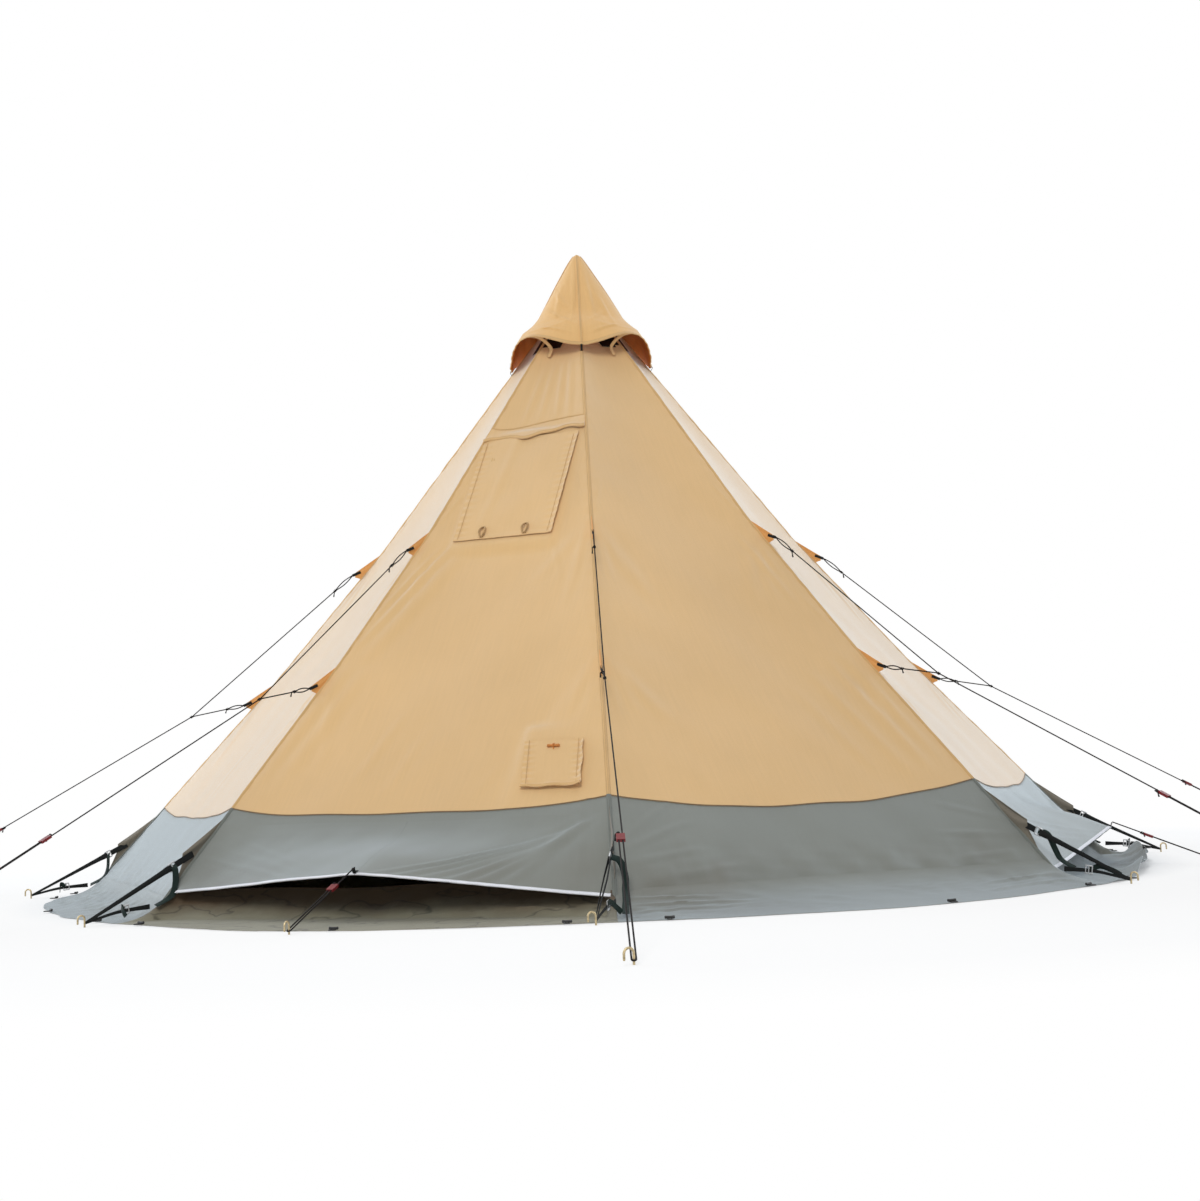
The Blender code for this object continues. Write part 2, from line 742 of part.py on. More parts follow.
def vent_sill(facet, apron):
    """The skirt's upright edge behind a vent flap, parallel to the wall and just inside it."""
    low, along, rise, _ = plane_of(facet, 0.0, LOWER_TAB_Z)
    out, _ = turn(facet_angle(facet))
    inward = out * (-SILL_SETBACK / rise.z)
    outline = []
    for height, sides in ((SKIRT_T / 2, (-1, 1)), (SILL_Z, (1, -1))):
        half = seam_radius(height) * sin(HALF) - SILL_END_GAP
        foot = low + rise * (height / rise.z) + inward
        outline += [foot + along * side * half for side in sides]
    tool = prism(f"vent_sill_tool_{facet}", outline, -out, SKIRT_T, "skirt")
    combine(apron, tool, "UNION")


def door():
    """The door panel in the plane of the wall, and its zip slider."""
    _, along, _, normal = plane_of(DOOR_FACET, DOOR_SILL_Z, DOOR_TOP_Z)
    outline = door_outline(TOUCH, DOOR_CLEAR, DOOR_SILL_Z + DOOR_CLEAR, DOOR_TOP_Z - DOOR_CLEAR)
    outline = [point - normal * CLOTH_T * 0.7 for point in outline]
    prism("door_flap", outline, normal, CLOTH_T * 0.7, "canvas")
    edge = door_outline(0.0, 0.0, DOOR_SILL_Z, DOOR_TOP_Z)
    run = (edge[2] - edge[1]).normalized()
    aside = normal.cross(run)
    if aside.dot(along) < 0:
        aside = -aside
    centre = edge[1] + run * ZIP_START + aside * (ZIP_W / 2 + 0.001) + normal * (TOUCH + ZIP_T / 2)
    block("door_zip_slider", centre, (aside, run, normal), (ZIP_W, ZIP_L, ZIP_T), "zip")


def line_frame(start, loop):
    """Unit direction of a line, and its level side direction."""
    direction = (loop - start).normalized()
    side = direction.cross(Vector((0.0, 0.0, 1.0))).normalized()
    return direction, side


def doubled_line(start, loop, share):
    """Path points from a line's start round the peg and back to the slider, and the slider's place."""
    direction, side = line_frame(start, loop)
    span = (loop - start).length
    slider = start + direction * span * share
    turn_r = STRAND_SIDE
    down = [start + side * -turn_r, slider + side * -turn_r, loop + side * -turn_r]
    arc = []
    for i in range(1, 6):
        angle = pi * i / 6
        arc.append(loop - side * turn_r * cos(angle) + direction * turn_r * sin(angle))
    back_end = slider - direction * (SLIDER_L / 2 + KNOT_L / 2 + TOUCH)
    back = [loop + side * turn_r, back_end + side * turn_r]
    return down + arc + back, slider, direction, side


def guyline(name, path, extra, knots):
    """One guyline: a tube, its branch if it has one, and its knots, as one body."""
    line = tube(name, path, CORD_D / 2, CORD_SIDES, "cord")
    for number, branch in enumerate(extra):
        tool = tube(f"{name}_branch_tool_{number}", branch, CORD_D / 2, CORD_SIDES, "cord")
        combine(line, tool, "UNION")
    for number, (place, axis) in enumerate(knots):
        combine(line, barrel_knot(f"{name}_knot_tool_{number}", place, axis), "UNION")


def line_slider(name, centre, direction, side):
    """A two-hole line slider."""
    normal = side.cross(direction)
    axes = (direction, side, normal)
    body = block(name, centre, axes, (SLIDER_L, SLIDER_W, SLIDER_T), "slider")
    for number, sign in enumerate((-1, 1)):
        place = centre + side * sign * STRAND_SIDE
        ends = [place - direction * SLIDER_L, place + direction * SLIDER_L]
        tool = tube(f"{name}_hole_tool_{number}", ends, SLIDER_HOLE_R, CORD_SIDES, "slider")
        combine(body, tool, "DIFFERENCE")


def peg_path(foot, out):
    """A hooked peg's centre line from the ground up, its hook turned away from the tent."""
    up = Vector((0.0, 0.0, 1.0))
    path = [foot, foot + up * PEG_STEM]
    for i in range(1, 7):
        angle = pi * i / 6
        path.append(foot + up * (PEG_STEM + PEG_HOOK_R * sin(angle)) + out * PEG_HOOK_R * (1 - cos(angle)))
    path.append(path[-1] - up * PEG_TAIL)
    return path


def line_set(number, start, upper, branch, peg_r, share, angle, prefix):
    """A line with its slider and its ground peg."""
    out, _ = turn(angle)
    foot = out * peg_r
    loop = foot + Vector((0.0, 0.0, LOOP_Z))
    path, slider, direction, side = doubled_line(start, loop, share)
    knots = [(path[-1], direction)]
    if upper is not None:
        path = [upper] + path
        knots += [(upper, out), (path[1] + direction * KNOT_L / 4, direction)]
    branches = []
    if branch is not None:
        inward = (path[1] - branch).normalized() * CORD_D * 0.2
        branches.append([branch, path[1] + inward])
        knots.append((branch, out))
    guyline(f"{prefix}line_{number}", path, branches, knots)
    line_slider(f"{prefix}slider_{number}", slider, direction, side)
    tube(f"{prefix}peg_{number}", peg_path(foot, out), PEG_D / 2, PEG_SIDES, "peg")


def guylines():
    for corner in range(1, SIDES + 1):
        peg_r = FRONT_GUY_PEG_R if corner == 1 else GUY_PEG_R
        share = FRONT_SLIDER_SHARE if corner == 1 else SLIDER_SHARE
        start = at_corner(corner, BRIDLE_R, BRIDLE_Z)
        upper = tab_tip(corner, UPPER_TAB_Z)
        lower = tab_tip(corner, LOWER_TAB_Z)
        line_set(corner, start, upper, lower, peg_r, share, corner_angle(corner), "guy_")
    for facet in OPEN_VENTS:
        hinge, along, down, normal = vent_frame(facet)
        lifted = open_direction(down, normal)
        lifted_normal = along.cross(-lifted)
        reach = PULL_TAB_H + CORD_D / 2 + TOUCH
        start = pull_tab_place(hinge, lifted) + lifted_normal * reach
        line_set(facet, start, None, None, VENT_PEG_R, VENT_SLIDER_SHARE, facet_angle(facet), "vent_")


def flat_strip(name, start, end, across, width, thick, slot):
    """A flat strap between two points."""
    direction = (end - start).normalized()
    length = (end - start).length
    across = (across - direction * across.dot(direction)).normalized()
    normal = direction.cross(across)
    return block(name, (start + end) / 2, (direction, across, normal), (length, width, thick), slot)


def corner_strap(corner):
    """A corner's fin, its strap and buckle, the low strap and their peg, sewn up as one piece."""
    out, along = turn(corner_angle(corner))
    off = TOUCH
    outline = [
        at_corner(corner, seam_radius(FIN_TOP_Z) + off, FIN_TOP_Z, -FIN_T / 2),
        at_corner(corner, seam_radius(FIN_LOW_Z) + off, FIN_LOW_Z, -FIN_T / 2),
        at_corner(corner, FIN_TIP_R, FIN_TIP_Z - STRAP_W / 2, -FIN_T / 2),
        at_corner(corner, FIN_TIP_R, FIN_TIP_Z + STRAP_W / 2, -FIN_T / 2),
    ]
    strap = prism(f"corner_strap_{corner}", outline, along, FIN_T, "webbing")
    tip = at_corner(corner, FIN_TIP_R - 0.02, FIN_TIP_Z)
    peg_foot = out * STRAP_PEG_R
    peg_top = peg_foot + Vector((0.0, 0.0, LOOP_Z))
    low = at_corner(corner, seam_radius(LOW_STRAP_Z) + off + 0.003, LOW_STRAP_Z)
    run = (peg_top - tip).normalized()
    normal = run.cross(along)
    buckle_at = tip + run * (peg_top - tip).length * (BUCKLE_SHARE + 0.05)
    tail_end = buckle_at + (run - Vector((0.0, 0.0, 0.35))).normalized() * STRAP_TAIL_L
    parts = [
        flat_strip("strap_tool", tip, peg_top, along, STRAP_W, STRAP_T, "webbing"),
        flat_strip("low_strap_tool", low, peg_top, along, STRAP_W, STRAP_T, "webbing"),
        flat_strip("tail_tool", buckle_at, tail_end, along, STRAP_W * 0.96, STRAP_T, "webbing"),
        block("buckle_tool", buckle_at, (run, along, normal), (BUCKLE_L, BUCKLE_W, BUCKLE_T), "webbing"),
        tube("strap_peg_tool", peg_path(peg_foot, out), PEG_D / 2, PEG_SIDES, "peg"),
    ]
    for part in parts:
        part.name = f"{part.name}_{corner}"
        combine(strap, part, "UNION")


def build():
    """Clears the scene and builds the tent."""
    for old in list(bpy.data.objects):
        bpy.data.objects.remove(old, do_unlink=True)
    pole()
    canvas_panels()
    rain_cap()
    hatches()
    wall_and_vents()
    skirt()
    door()
    guylines()
    for corner in range(1, SIDES + 1):
        corner_strap(corner)


build()
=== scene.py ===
"""Looks of the eight-sided tipi tent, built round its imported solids. Metres, +Z up.

Corner 1 faces -Y. Corners and facets are numbered anticlockwise seen from above, and facet 1
lies between corner 1 and corner 2. A facet's share runs from -1 at its first corner to 1 at its
second, and its cloth is seen from outside.
"""

from math import cos, pi, radians, sin, sqrt

import bmesh
import bpy
import numpy as np
from mathutils import Matrix, Vector


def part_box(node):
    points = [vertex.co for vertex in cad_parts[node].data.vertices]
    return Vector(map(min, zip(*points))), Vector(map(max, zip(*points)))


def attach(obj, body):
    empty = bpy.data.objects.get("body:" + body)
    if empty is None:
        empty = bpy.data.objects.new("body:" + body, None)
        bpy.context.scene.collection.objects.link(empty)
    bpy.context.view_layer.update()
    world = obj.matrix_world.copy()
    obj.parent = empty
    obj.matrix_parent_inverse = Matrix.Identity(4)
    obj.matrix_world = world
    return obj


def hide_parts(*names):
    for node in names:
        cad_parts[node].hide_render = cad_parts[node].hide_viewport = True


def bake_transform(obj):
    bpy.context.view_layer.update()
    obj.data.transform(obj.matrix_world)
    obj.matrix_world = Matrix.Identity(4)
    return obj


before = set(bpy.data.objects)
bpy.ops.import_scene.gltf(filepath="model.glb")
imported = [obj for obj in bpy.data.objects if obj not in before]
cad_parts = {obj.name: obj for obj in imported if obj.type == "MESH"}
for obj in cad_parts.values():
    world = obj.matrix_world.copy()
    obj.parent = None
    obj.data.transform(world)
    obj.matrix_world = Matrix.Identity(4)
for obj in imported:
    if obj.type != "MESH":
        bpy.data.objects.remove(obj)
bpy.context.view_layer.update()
UP = Vector((0.0, 0.0, 1.0))

# Form of the tent, as in its solids
SIDES = 8
HALF = pi / SIDES
BASE_R = 2.500
LOWER_TAB_R = 1.563
LOWER_TAB_Z = 1.000
UPPER_TAB_R = 1.021
UPPER_TAB_Z = 1.625
NECK_R = 0.340
NECK_Z = 2.512
HEAD_R = 0.073
BAND_Z = 0.410
HINGE_Z = 0.348
FLAP_L = 0.440
FLAP_SWING = radians(25.0)
POST_W = 0.050
VENT_FACETS = (2, 4, 6, 8)
OPEN_VENTS = (2, 8)
TOP_VENT_HIGH_Z = 2.680
TOP_VENT_HALF_W = 0.085
NET_LOW_Z = 2.590
DOOR_FACET = 5
DOOR_SILL_Z = 0.035
DOOR_TOP_Z = 0.925
DOOR_BOTTOM_HALF_W = 0.520
DOOR_TOP_HALF_W = 0.330
HATCH_FACET = 8
PIPE_FLAP_W = 0.480
PIPE_FLAP_LOW_Z = 1.550
PIPE_FLAP_TOP_Z = 2.070
PIPE_FLAP_SHIFT = -0.015
PIPE_HOLE = (0.330, 0.440)
SMALL_FLAP = (0.245, 0.240)
SMALL_FLAP_LOW_Z = 0.445
SMALL_FLAP_SHIFT = 0.475
# The photograph shows the small hatch further along its hinge, with sides that lean less
SMALL_HATCH_MOVE = 0.050
SMALL_HATCH_LEAN = 0.18
SMALL_HATCH_MIDDLE = SMALL_FLAP_SHIFT + SMALL_HATCH_MOVE + 0.020
SMALL_HOLE = (0.165, 0.165)
SILL_Z = 0.110
SKIRT_TOP_Z = 0.088
WALL_FOOT_Z = 0.050
BAY_GAP = 0.012

# Lines, straps and pegs, as in the solids
CORD_D = 0.0052
STRAND_SIDE = 0.0062
KNOT_L = 0.0110
TAB_OUT = 0.055
TAB_DROP = 0.105
TAB_SEAM_L = 0.128
TAB_TIP = 0.022
BRIDLE_R = 1.975
BRIDLE_Z = 0.850
GUY_PEG_R = 3.500
FRONT_GUY_PEG_R = 3.950
VENT_PEG_R = 2.850
LOOP_Z = 0.014
SLIDER_SHARE = 0.62
FRONT_SLIDER_SHARE = 0.66
VENT_SLIDER_SHARE = 0.34
SLIDER_L = 0.042
PULL_TAB_H = 0.022
PULL_TAB_T = 0.004
PEG_D = 0.0070
PEG_STEM = 0.030
PEG_HOOK_R = 0.0140
PEG_TAIL = 0.018
FRONT_HOOK_TURN = radians(-65.0)
FIN_TOP_Z = 0.385
FIN_LOW_Z = 0.110
FIN_TIP_R = 2.345
FIN_TIP_Z = 0.230
STRAP_W = 0.025
STRAP_PEG_R = 2.765
LOW_STRAP_Z = 0.030
FRONT_PEG_ASIDE = -0.075
BUCKLE_SHARE = 0.15
# Gap between a knot and what it rests against
TOUCH = 0.0004

# Cloth
CANVAS_T = 0.0014
FLAP_T = 0.0018
SAG = 0.022
BAND_SAG = {1: (0.060, 2.2), 2: (0.040, 2.6), 7: (0.036, 2.6), 8: (0.033, 5.0)}
USUAL_BAND_SAG = (0.045, 2.6)

# Camera, fitted to the photograph
IMAGE_W = 1200
CAMERA_FOCAL_PX = 1678.0
CAMERA_DISTANCE = 8.300
CAMERA_Z = 0.4825
CAMERA_SIDE = radians(1.1)
CAMERA_YAW = radians(0.34)
CAMERA_PITCH = radians(5.96)
CAMERA_ROLL = radians(-2.28)
SENSOR_W = 36.0


def make_camera():
    """The photograph's view: low, in front of corner 1, rolled a little."""
    heading = CAMERA_YAW + CAMERA_SIDE
    forward = Vector((sin(heading) * cos(CAMERA_PITCH), cos(heading) * cos(CAMERA_PITCH), sin(CAMERA_PITCH)))
    level = Vector((cos(heading), -sin(heading), 0.0))
    upright = level.cross(forward)
    right = level * cos(CAMERA_ROLL) + upright * sin(CAMERA_ROLL)
    top = upright * cos(CAMERA_ROLL) - level * sin(CAMERA_ROLL)
    data = bpy.data.cameras.new("photo_camera")
    data.sensor_fit = "HORIZONTAL"
    data.sensor_width = SENSOR_W
    data.lens = SENSOR_W * CAMERA_FOCAL_PX / IMAGE_W
    camera = bpy.data.objects.new("photo_camera", data)
    bpy.context.scene.collection.objects.link(camera)
    place = Matrix((right, top, -forward)).transposed().to_4x4()
    place.translation = (-CAMERA_DISTANCE * sin(CAMERA_SIDE), -CAMERA_DISTANCE * cos(CAMERA_SIDE), CAMERA_Z)
    camera.matrix_world = place
    bpy.context.scene.camera = camera


# Materials


# How many radians the wave texture turns in a metre at a scale of 1
WAVE_TURN = 20.0
# Length of a stitch with the gap behind it, and the stitch's share of that
STITCH_PITCH = 0.0045
STITCH_SHARE = 0.66


def linear(colour):
    """An sRGB colour of 0 to 255 as linear light, with full cover."""
    shares = [value / 255 for value in colour]
    light = [share / 12.92 if share <= 0.04045 else ((share + 0.055) / 1.055) ** 2.4 for share in shares]
    return (*light, 1.0)


class Nodes:
    """A node tree and short ways to add nodes to it."""

    def __init__(self, tree):
        self.tree = tree

    def node(self, kind, sockets=None, **settings):
        made = self.tree.nodes.new(kind)
        for setting, value in settings.items():
            setattr(made, setting, value)
        for socket, value in (sockets or {}).items():
            if isinstance(value, bpy.types.NodeSocket):
                self.tree.links.new(value, made.inputs[socket])
            else:
                made.inputs[socket].default_value = value
        return made

    def maths(self, operation, first, second=0.0, third=0.0):
        sockets = {0: first, 1: second, 2: third}
        return self.node("ShaderNodeMath", sockets, operation=operation).outputs[0]

    def seen(self):
        """1 for rays of the camera, of mirrors and of glass, and 0 for the light that lamps spread."""
        rays = self.node("ShaderNodeLightPath").outputs
        mirrored = self.maths("MAXIMUM", rays["Is Camera Ray"], rays["Is Glossy Ray"])
        return self.maths("MAXIMUM", mirrored, rays["Is Transmission Ray"])


class Finish(Nodes):
    """A Principled material."""

    def __init__(self, name, colour, roughness, metallic=0.0, **sockets):
        self.made = bpy.data.materials.new(name)
        self.made.use_nodes = True
        super().__init__(self.made.node_tree)
        self.shader = self.tree.nodes["Principled BSDF"]
        self.colour = linear(colour)
        self.shader.inputs["Base Color"].default_value = self.colour
        self.shader.inputs["Roughness"].default_value = roughness
        self.shader.inputs["Metallic"].default_value = metallic
        for socket, value in sockets.items():
            self.shader.inputs[socket.replace("_", " ")].default_value = value

    def place(self, kind="Object"):
        return self.node("ShaderNodeTexCoord").outputs[kind]

    def height(self):
        """Height above the ground."""
        return self.node("ShaderNodeSeparateXYZ", {0: self.place()}).outputs[2]

    def noise(self, scale, detail=3.0, kind="Object", stretch=None):
        vector = self.place(kind)
        if stretch:
            vector = self.node("ShaderNodeMapping", {"Vector": vector, "Scale": stretch}).outputs[0]
        sockets = {"Vector": vector, "Scale": scale, "Detail": detail}
        return self.node("ShaderNodeTexNoise", sockets).outputs["Fac"]

    def cloud(self, scale, detail, low, high, kind="Object", stretch=None):
        """Noise spread between two values."""
        return self.ramp(self.noise(scale, detail, kind, stretch), 0.3, 0.7, low, high)

    def threads(self, pitch, direction):
        """Parallel threads a pitch apart."""
        sockets = {"Vector": self.place("UV"), "Scale": 2 * pi / (WAVE_TURN * pitch)}
        return self.node("ShaderNodeTexWave", sockets, bands_direction=direction).outputs["Fac"]

    def weave(self, pitch):
        """Threads that cross."""
        return self.maths("MULTIPLY", self.threads(pitch, "X"), self.threads(pitch, "Y"))

    def ramp(self, factor, low, high, out_low, out_high):
        sockets = {"Value": factor, "From Min": low, "From Max": high, "To Min": out_low, "To Max": out_high}
        return self.node("ShaderNodeMapRange", sockets).outputs[0]

    def mix(self, factor, first, second, blend="MIX"):
        sockets = {0: factor, 6: first, 7: second}
        return self.node("ShaderNodeMix", sockets, data_type="RGBA", blend_type=blend).outputs[2]

    def shade(self, colour, factor):
        """A colour made lighter or darker by a factor near 1."""
        grey = self.node("ShaderNodeCombineColor", {0: factor, 1: factor, 2: factor}).outputs[0]
        return self.mix(1.0, colour, grey, "MULTIPLY")

    def finish(self, colour, relief, depth, strength):
        """Gives the shader its colour and its relief, and returns the material."""
        self.tree.links.new(colour, self.shader.inputs["Base Color"])
        bump = self.node("ShaderNodeBump", {"Height": relief, "Strength": strength, "Distance": depth})
        self.tree.links.new(bump.outputs[0], self.shader.inputs["Normal"])
        return self.made


PALE_SHEEN = (0.90, 0.95, 1.0, 1.0)
BLUE_SHEEN = (0.82, 0.92, 1.0, 1.0)
LOW_BROWN = linear((92, 76, 52))
SHADOW_BROWN = linear((76, 54, 28))


def woven(name, colour, pitch, low_brown=0.0, sheen=0.5, tone=0.05, shadow=0.0, crease=0.0, ground=1.0,
          tint=PALE_SHEEN):
    """Plain-woven cloth: soft cloudy tone, slubs, a fine weave, brown patches low down, and where asked
    painted shadow, painted shade towards the ground and painted shade in dark crease lines.
    """
    made = Finish(name, colour, 0.66, Sheen_Weight=sheen, Sheen_Roughness=0.5, Sheen_Tint=tint,
                  Specular_IOR_Level=0.4)
    cloud = made.cloud(1.3, 4.0, 1.0 - tone, 1.0 + tone)
    slub = made.cloud(90.0, 2.0, 0.985, 1.015, "UV", (1.0, 0.06, 1.0))
    weave = made.weave(pitch)
    fine = made.ramp(weave, 0.0, 1.0, 0.95, 1.04)
    shown = made.shade(made.colour, made.maths("MULTIPLY", made.maths("MULTIPLY", cloud, slub), fine))
    # Brown in patches, strongest at the ground and gone about a quarter metre up
    if low_brown:
        edge = made.maths("ADD", made.height(), made.cloud(5.0, 4.0, -0.09, 0.09))
        low = made.ramp(edge, 0.02, 0.24, low_brown, 0.0)
        patch = made.ramp(made.noise(1.7, 2.0), 0.48, 0.60, 0.25, 1.0)
        shown = made.mix(made.maths("MULTIPLY", low, patch), shown, LOW_BROWN)
    if shadow:
        edge = made.maths("ADD", made.height(), made.cloud(4.0, 4.0, -0.018, 0.018))
        shown = made.mix(made.ramp(edge, 0.006, 0.062, 0.0, shadow), shown, SHADOW_BROWN)
    # Painted shade: the colour darker towards the ground
    if ground < 1.0:
        shown = made.shade(shown, made.ramp(made.height(), 0.0, 0.085, ground, 1.0))
    relief = made.maths("ADD", made.maths("MULTIPLY", weave, 0.25), made.noise(16.0, 3.0))
    # Painted shade: thin dark lines where creases would be in shade, with a bump to match
    if crease:
        folded = made.noise(3.4, 3.0, stretch=(1.0, 1.0, 2.6))
        distance = made.maths("ABSOLUTE", made.maths("SUBTRACT", folded, 0.5))
        line = made.ramp(distance, 0.0, 0.018, 1.0 - crease, 1.0)
        shown = made.shade(shown, line)
        relief = made.maths("ADD", relief, made.maths("MULTIPLY", line, 2.0))
    return made.finish(shown, relief, 0.0016, 0.24)


def stitched(name, colour, rows, width, thread):
    """Tape with rows of stitches at set places across its width, from its UV in metres."""
    made = Finish(name, colour, 0.85, Sheen_Weight=0.3, Specular_IOR_Level=0.25)
    split = made.node("ShaderNodeSeparateXYZ", {0: made.place("UV")})
    across, along = split.outputs[0], split.outputs[1]
    hit = None
    for row in rows:
        near = made.maths("COMPARE", across, row, width)
        hit = near if hit is None else made.maths("MAXIMUM", hit, near)
    step = made.maths("FRACT", made.maths("DIVIDE", along, STITCH_PITCH))
    dash = made.maths("LESS_THAN", step, STITCH_SHARE)
    body = made.shade(made.colour, made.cloud(9.0, 3.0, 0.94, 1.05))
    shown = made.mix(made.maths("MULTIPLY", hit, dash), body, linear(thread))
    weave = made.maths("MULTIPLY", made.weave(0.0012), 0.2)
    relief = made.maths("SUBTRACT", weave, made.maths("MULTIPLY", hit, 0.8))
    return made.finish(shown, relief, 0.0010, 0.6)


def ribbed(name, colour, pitch):
    """Woven webbing with a rib across its width."""
    made = Finish(name, colour, 0.70, Sheen_Weight=0.05, Specular_IOR_Level=0.25)
    rib = made.threads(pitch, "Y")
    cord = made.threads(pitch * 1.6, "X")
    worn = made.ramp(made.noise(60.0, 4.0), 0.3, 0.75, 0.85, 1.35)
    shown = made.shade(made.colour, made.maths("MULTIPLY", worn, made.ramp(rib, 0.0, 1.0, 0.75, 1.2)))
    return made.finish(shown, made.maths("ADD", rib, made.maths("MULTIPLY", cord, 0.4)), 0.0006, 0.8)


def solid_finish(name, colour, roughness, metallic, scale, low, high, bump=0.15, stretch=None):
    """Hard material with a grain that varies its tone and its gloss."""
    made = Finish(name, colour, roughness, metallic)
    grain = made.noise(scale, 5.0, stretch=stretch)
    shown = made.shade(made.colour, made.ramp(grain, 0.3, 0.7, low, high))
    gloss = made.ramp(grain, 0.3, 0.7, roughness * 0.85, min(1.0, roughness * 1.2))
    made.tree.links.new(gloss, made.shader.inputs["Roughness"])
    return made.finish(shown, grain, 0.0003, bump)


def braided(name, colour):
    """Braided cord: two crossing sets of fine strands and a fleck of lighter yarn."""
    made = Finish(name, colour, 0.75, Specular_IOR_Level=0.25)
    strands = made.node("ShaderNodeTexVoronoi", {"Vector": made.place(), "Scale": 900.0})
    fleck = made.ramp(made.noise(420.0, 2.0), 0.62, 0.7, 0.85, 1.8)
    return made.finish(made.shade(made.colour, fleck), strands.outputs["Distance"], 0.0004, 0.7)


CANVAS = woven("sand_canvas", (226, 185, 125), 0.0012, sheen=0.8)
# The cap's outside: a shaded copy of the canvas, deeper in colour and with less sheen, as painted shade
# where the sky does not reach
CAP_CANVAS_SHADED = woven("cap_canvas_shaded", (227, 182, 119), 0.0012, sheen=0.2)
# Guy tabs: the canvas painted a lighter, deeper orange, as painted backlight shining through the cloth
TAB_CLOTH_BACKLIT = woven("tab_canvas_painted_backlight", (226, 162, 92), 0.0012, sheen=0.1)
# Inside of the cap: the canvas painted a saturated orange, as painted light shining through the cloth
LINING_PAINTED_GLOW = woven("cap_lining_painted_glow", (222, 132, 52), 0.0012, sheen=0.0)
WALL = woven("grey_wall_cloth", (128, 130, 122), 0.0009, low_brown=0.36, sheen=0.85, tint=BLUE_SHEEN)
# The skirt cloth: painted shade darker towards the ground and painted shade in its crease lines
SKIRT = woven("skirt_cloth", (129, 131, 123), 0.0009, low_brown=0.28, sheen=0.7, tone=0.06, crease=0.06,
              ground=0.80, tint=BLUE_SHEEN)
# The skirt in the recess under facet 8's open vent: a browner copy of the skirt cloth, with painted shadow
# where it rises and painted shade in strong crease lines
SILL_CLOTH_SHADOWED = woven("sill_cloth_painted_shadow", (134, 130, 110), 0.0009, sheen=0.2, tone=0.08, shadow=0.90, crease=0.5)
FIN_CLOTH = woven("fin_cloth", (118, 110, 96), 0.0009, sheen=0.3, tone=0.15)
TAPE_COLOUR, THREAD_COLOUR = (216, 176, 120), (176, 138, 90)
SEAM_ROWS = (-0.0072, 0.0, 0.0072)
CANVAS_TAPE = stitched("canvas_seam_tape", TAPE_COLOUR, SEAM_ROWS, 0.0006, THREAD_COLOUR)
WALL_TAPE = stitched("wall_seam_tape", (120, 124, 118), SEAM_ROWS, 0.0007, (92, 90, 82))
HEM = stitched("canvas_hem", TAPE_COLOUR, (-0.007, 0.007), 0.0006, THREAD_COLOUR)
# Band seam line: its own stitched tape, made dark brown as painted shade of the step between canvas and wall
PIPING_AND_SHADE = stitched("band_piping_and_shade", (136, 108, 78), (0.0,), 0.0005, (92, 74, 56))
TRIM = stitched("vent_trim", (242, 244, 250), (-0.004, 0.004), 0.0005, (206, 210, 220))
WEBBING = ribbed("webbing", (12, 16, 16), 0.0016)
TAIL_WEBBING = ribbed("tail_webbing", (14, 34, 30), 0.0016)
TAN_WEBBING = ribbed("tan_webbing", (186, 150, 104), 0.0014)
TOGGLE = ribbed("tan_toggle", (206, 132, 68), 0.0014)
CORD = braided("guyline_cord", (18, 13, 12))
RED = solid_finish("red_anodised", (112, 2, 14), 0.5, 0.0, 240.0, 0.8, 1.1)
BRONZE = solid_finish("bronze_rod", (196, 178, 140), 0.34, 0.75, 160.0, 0.6, 1.15)
BUCKLE = solid_finish("pale_buckle", (196, 198, 200), 0.38, 0.5, 200.0, 0.8, 1.1)
POLE = solid_finish("pole_tube", (190, 191, 194), 0.32, 1.0, 60.0, 0.85, 1.08, 0.1, (6.0, 6.0, 0.4))
PLASTIC = solid_finish("black_moulding", (36, 36, 37), 0.5, 0.0, 300.0, 0.85, 1.2, 0.25)
ZIP = solid_finish("zip_metal", (58, 58, 60), 0.35, 0.8, 300.0, 0.8, 1.2)
ZIP_TAPE = ribbed("zip_tape", (40, 40, 42), 0.0012)
NET = woven("vent_net", (24, 16, 10), 0.0024, sheen=0.0, tone=0.3)


# Meshes


# Turn between two faces beyond which their edge is drawn sharp, on sheets and on other pieces
SHEET_EDGE = radians(50.0)
PIECE_EDGE = radians(45.0)


def add(name, mesh, material, body, replaced=()):
    """Links a mesh as a piece that rides on a body."""
    if material:
        mesh.materials.append(material)
    made = bpy.data.objects.new(name, mesh)
    bpy.context.scene.collection.objects.link(made)
    if replaced:
        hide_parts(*replaced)
    if body:
        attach(made, body)
    return made


def grid_mesh(name, points, uv, weld=False):
    """A smooth sheet from a grid of points, rows by columns, with its UV in metres."""
    rows, columns = points.shape[:2]
    index = np.arange(rows * columns).reshape(rows, columns)
    quads = np.stack([index[:-1, :-1], index[:-1, 1:], index[1:, 1:], index[1:, :-1]], axis=-1)
    mesh = bpy.data.meshes.new(name)
    mesh.from_pydata(points.reshape(-1, 3).tolist(), [], quads.reshape(-1, 4).tolist())
    corners = np.empty(len(mesh.loops), int)
    mesh.loops.foreach_get("vertex_index", corners)
    layer = mesh.uv_layers.new(name="UVMap")
    layer.data.foreach_set("uv", uv.reshape(-1, 2)[corners].astype(np.float32).ravel())
    if weld:
        work = bmesh.new()
        work.from_mesh(mesh)
        bmesh.ops.remove_doubles(work, verts=work.verts, dist=0.00001)
        bmesh.ops.recalc_face_normals(work, faces=work.faces)
        work.to_mesh(mesh)
        work.free()
    mesh.shade_smooth()
    return mesh


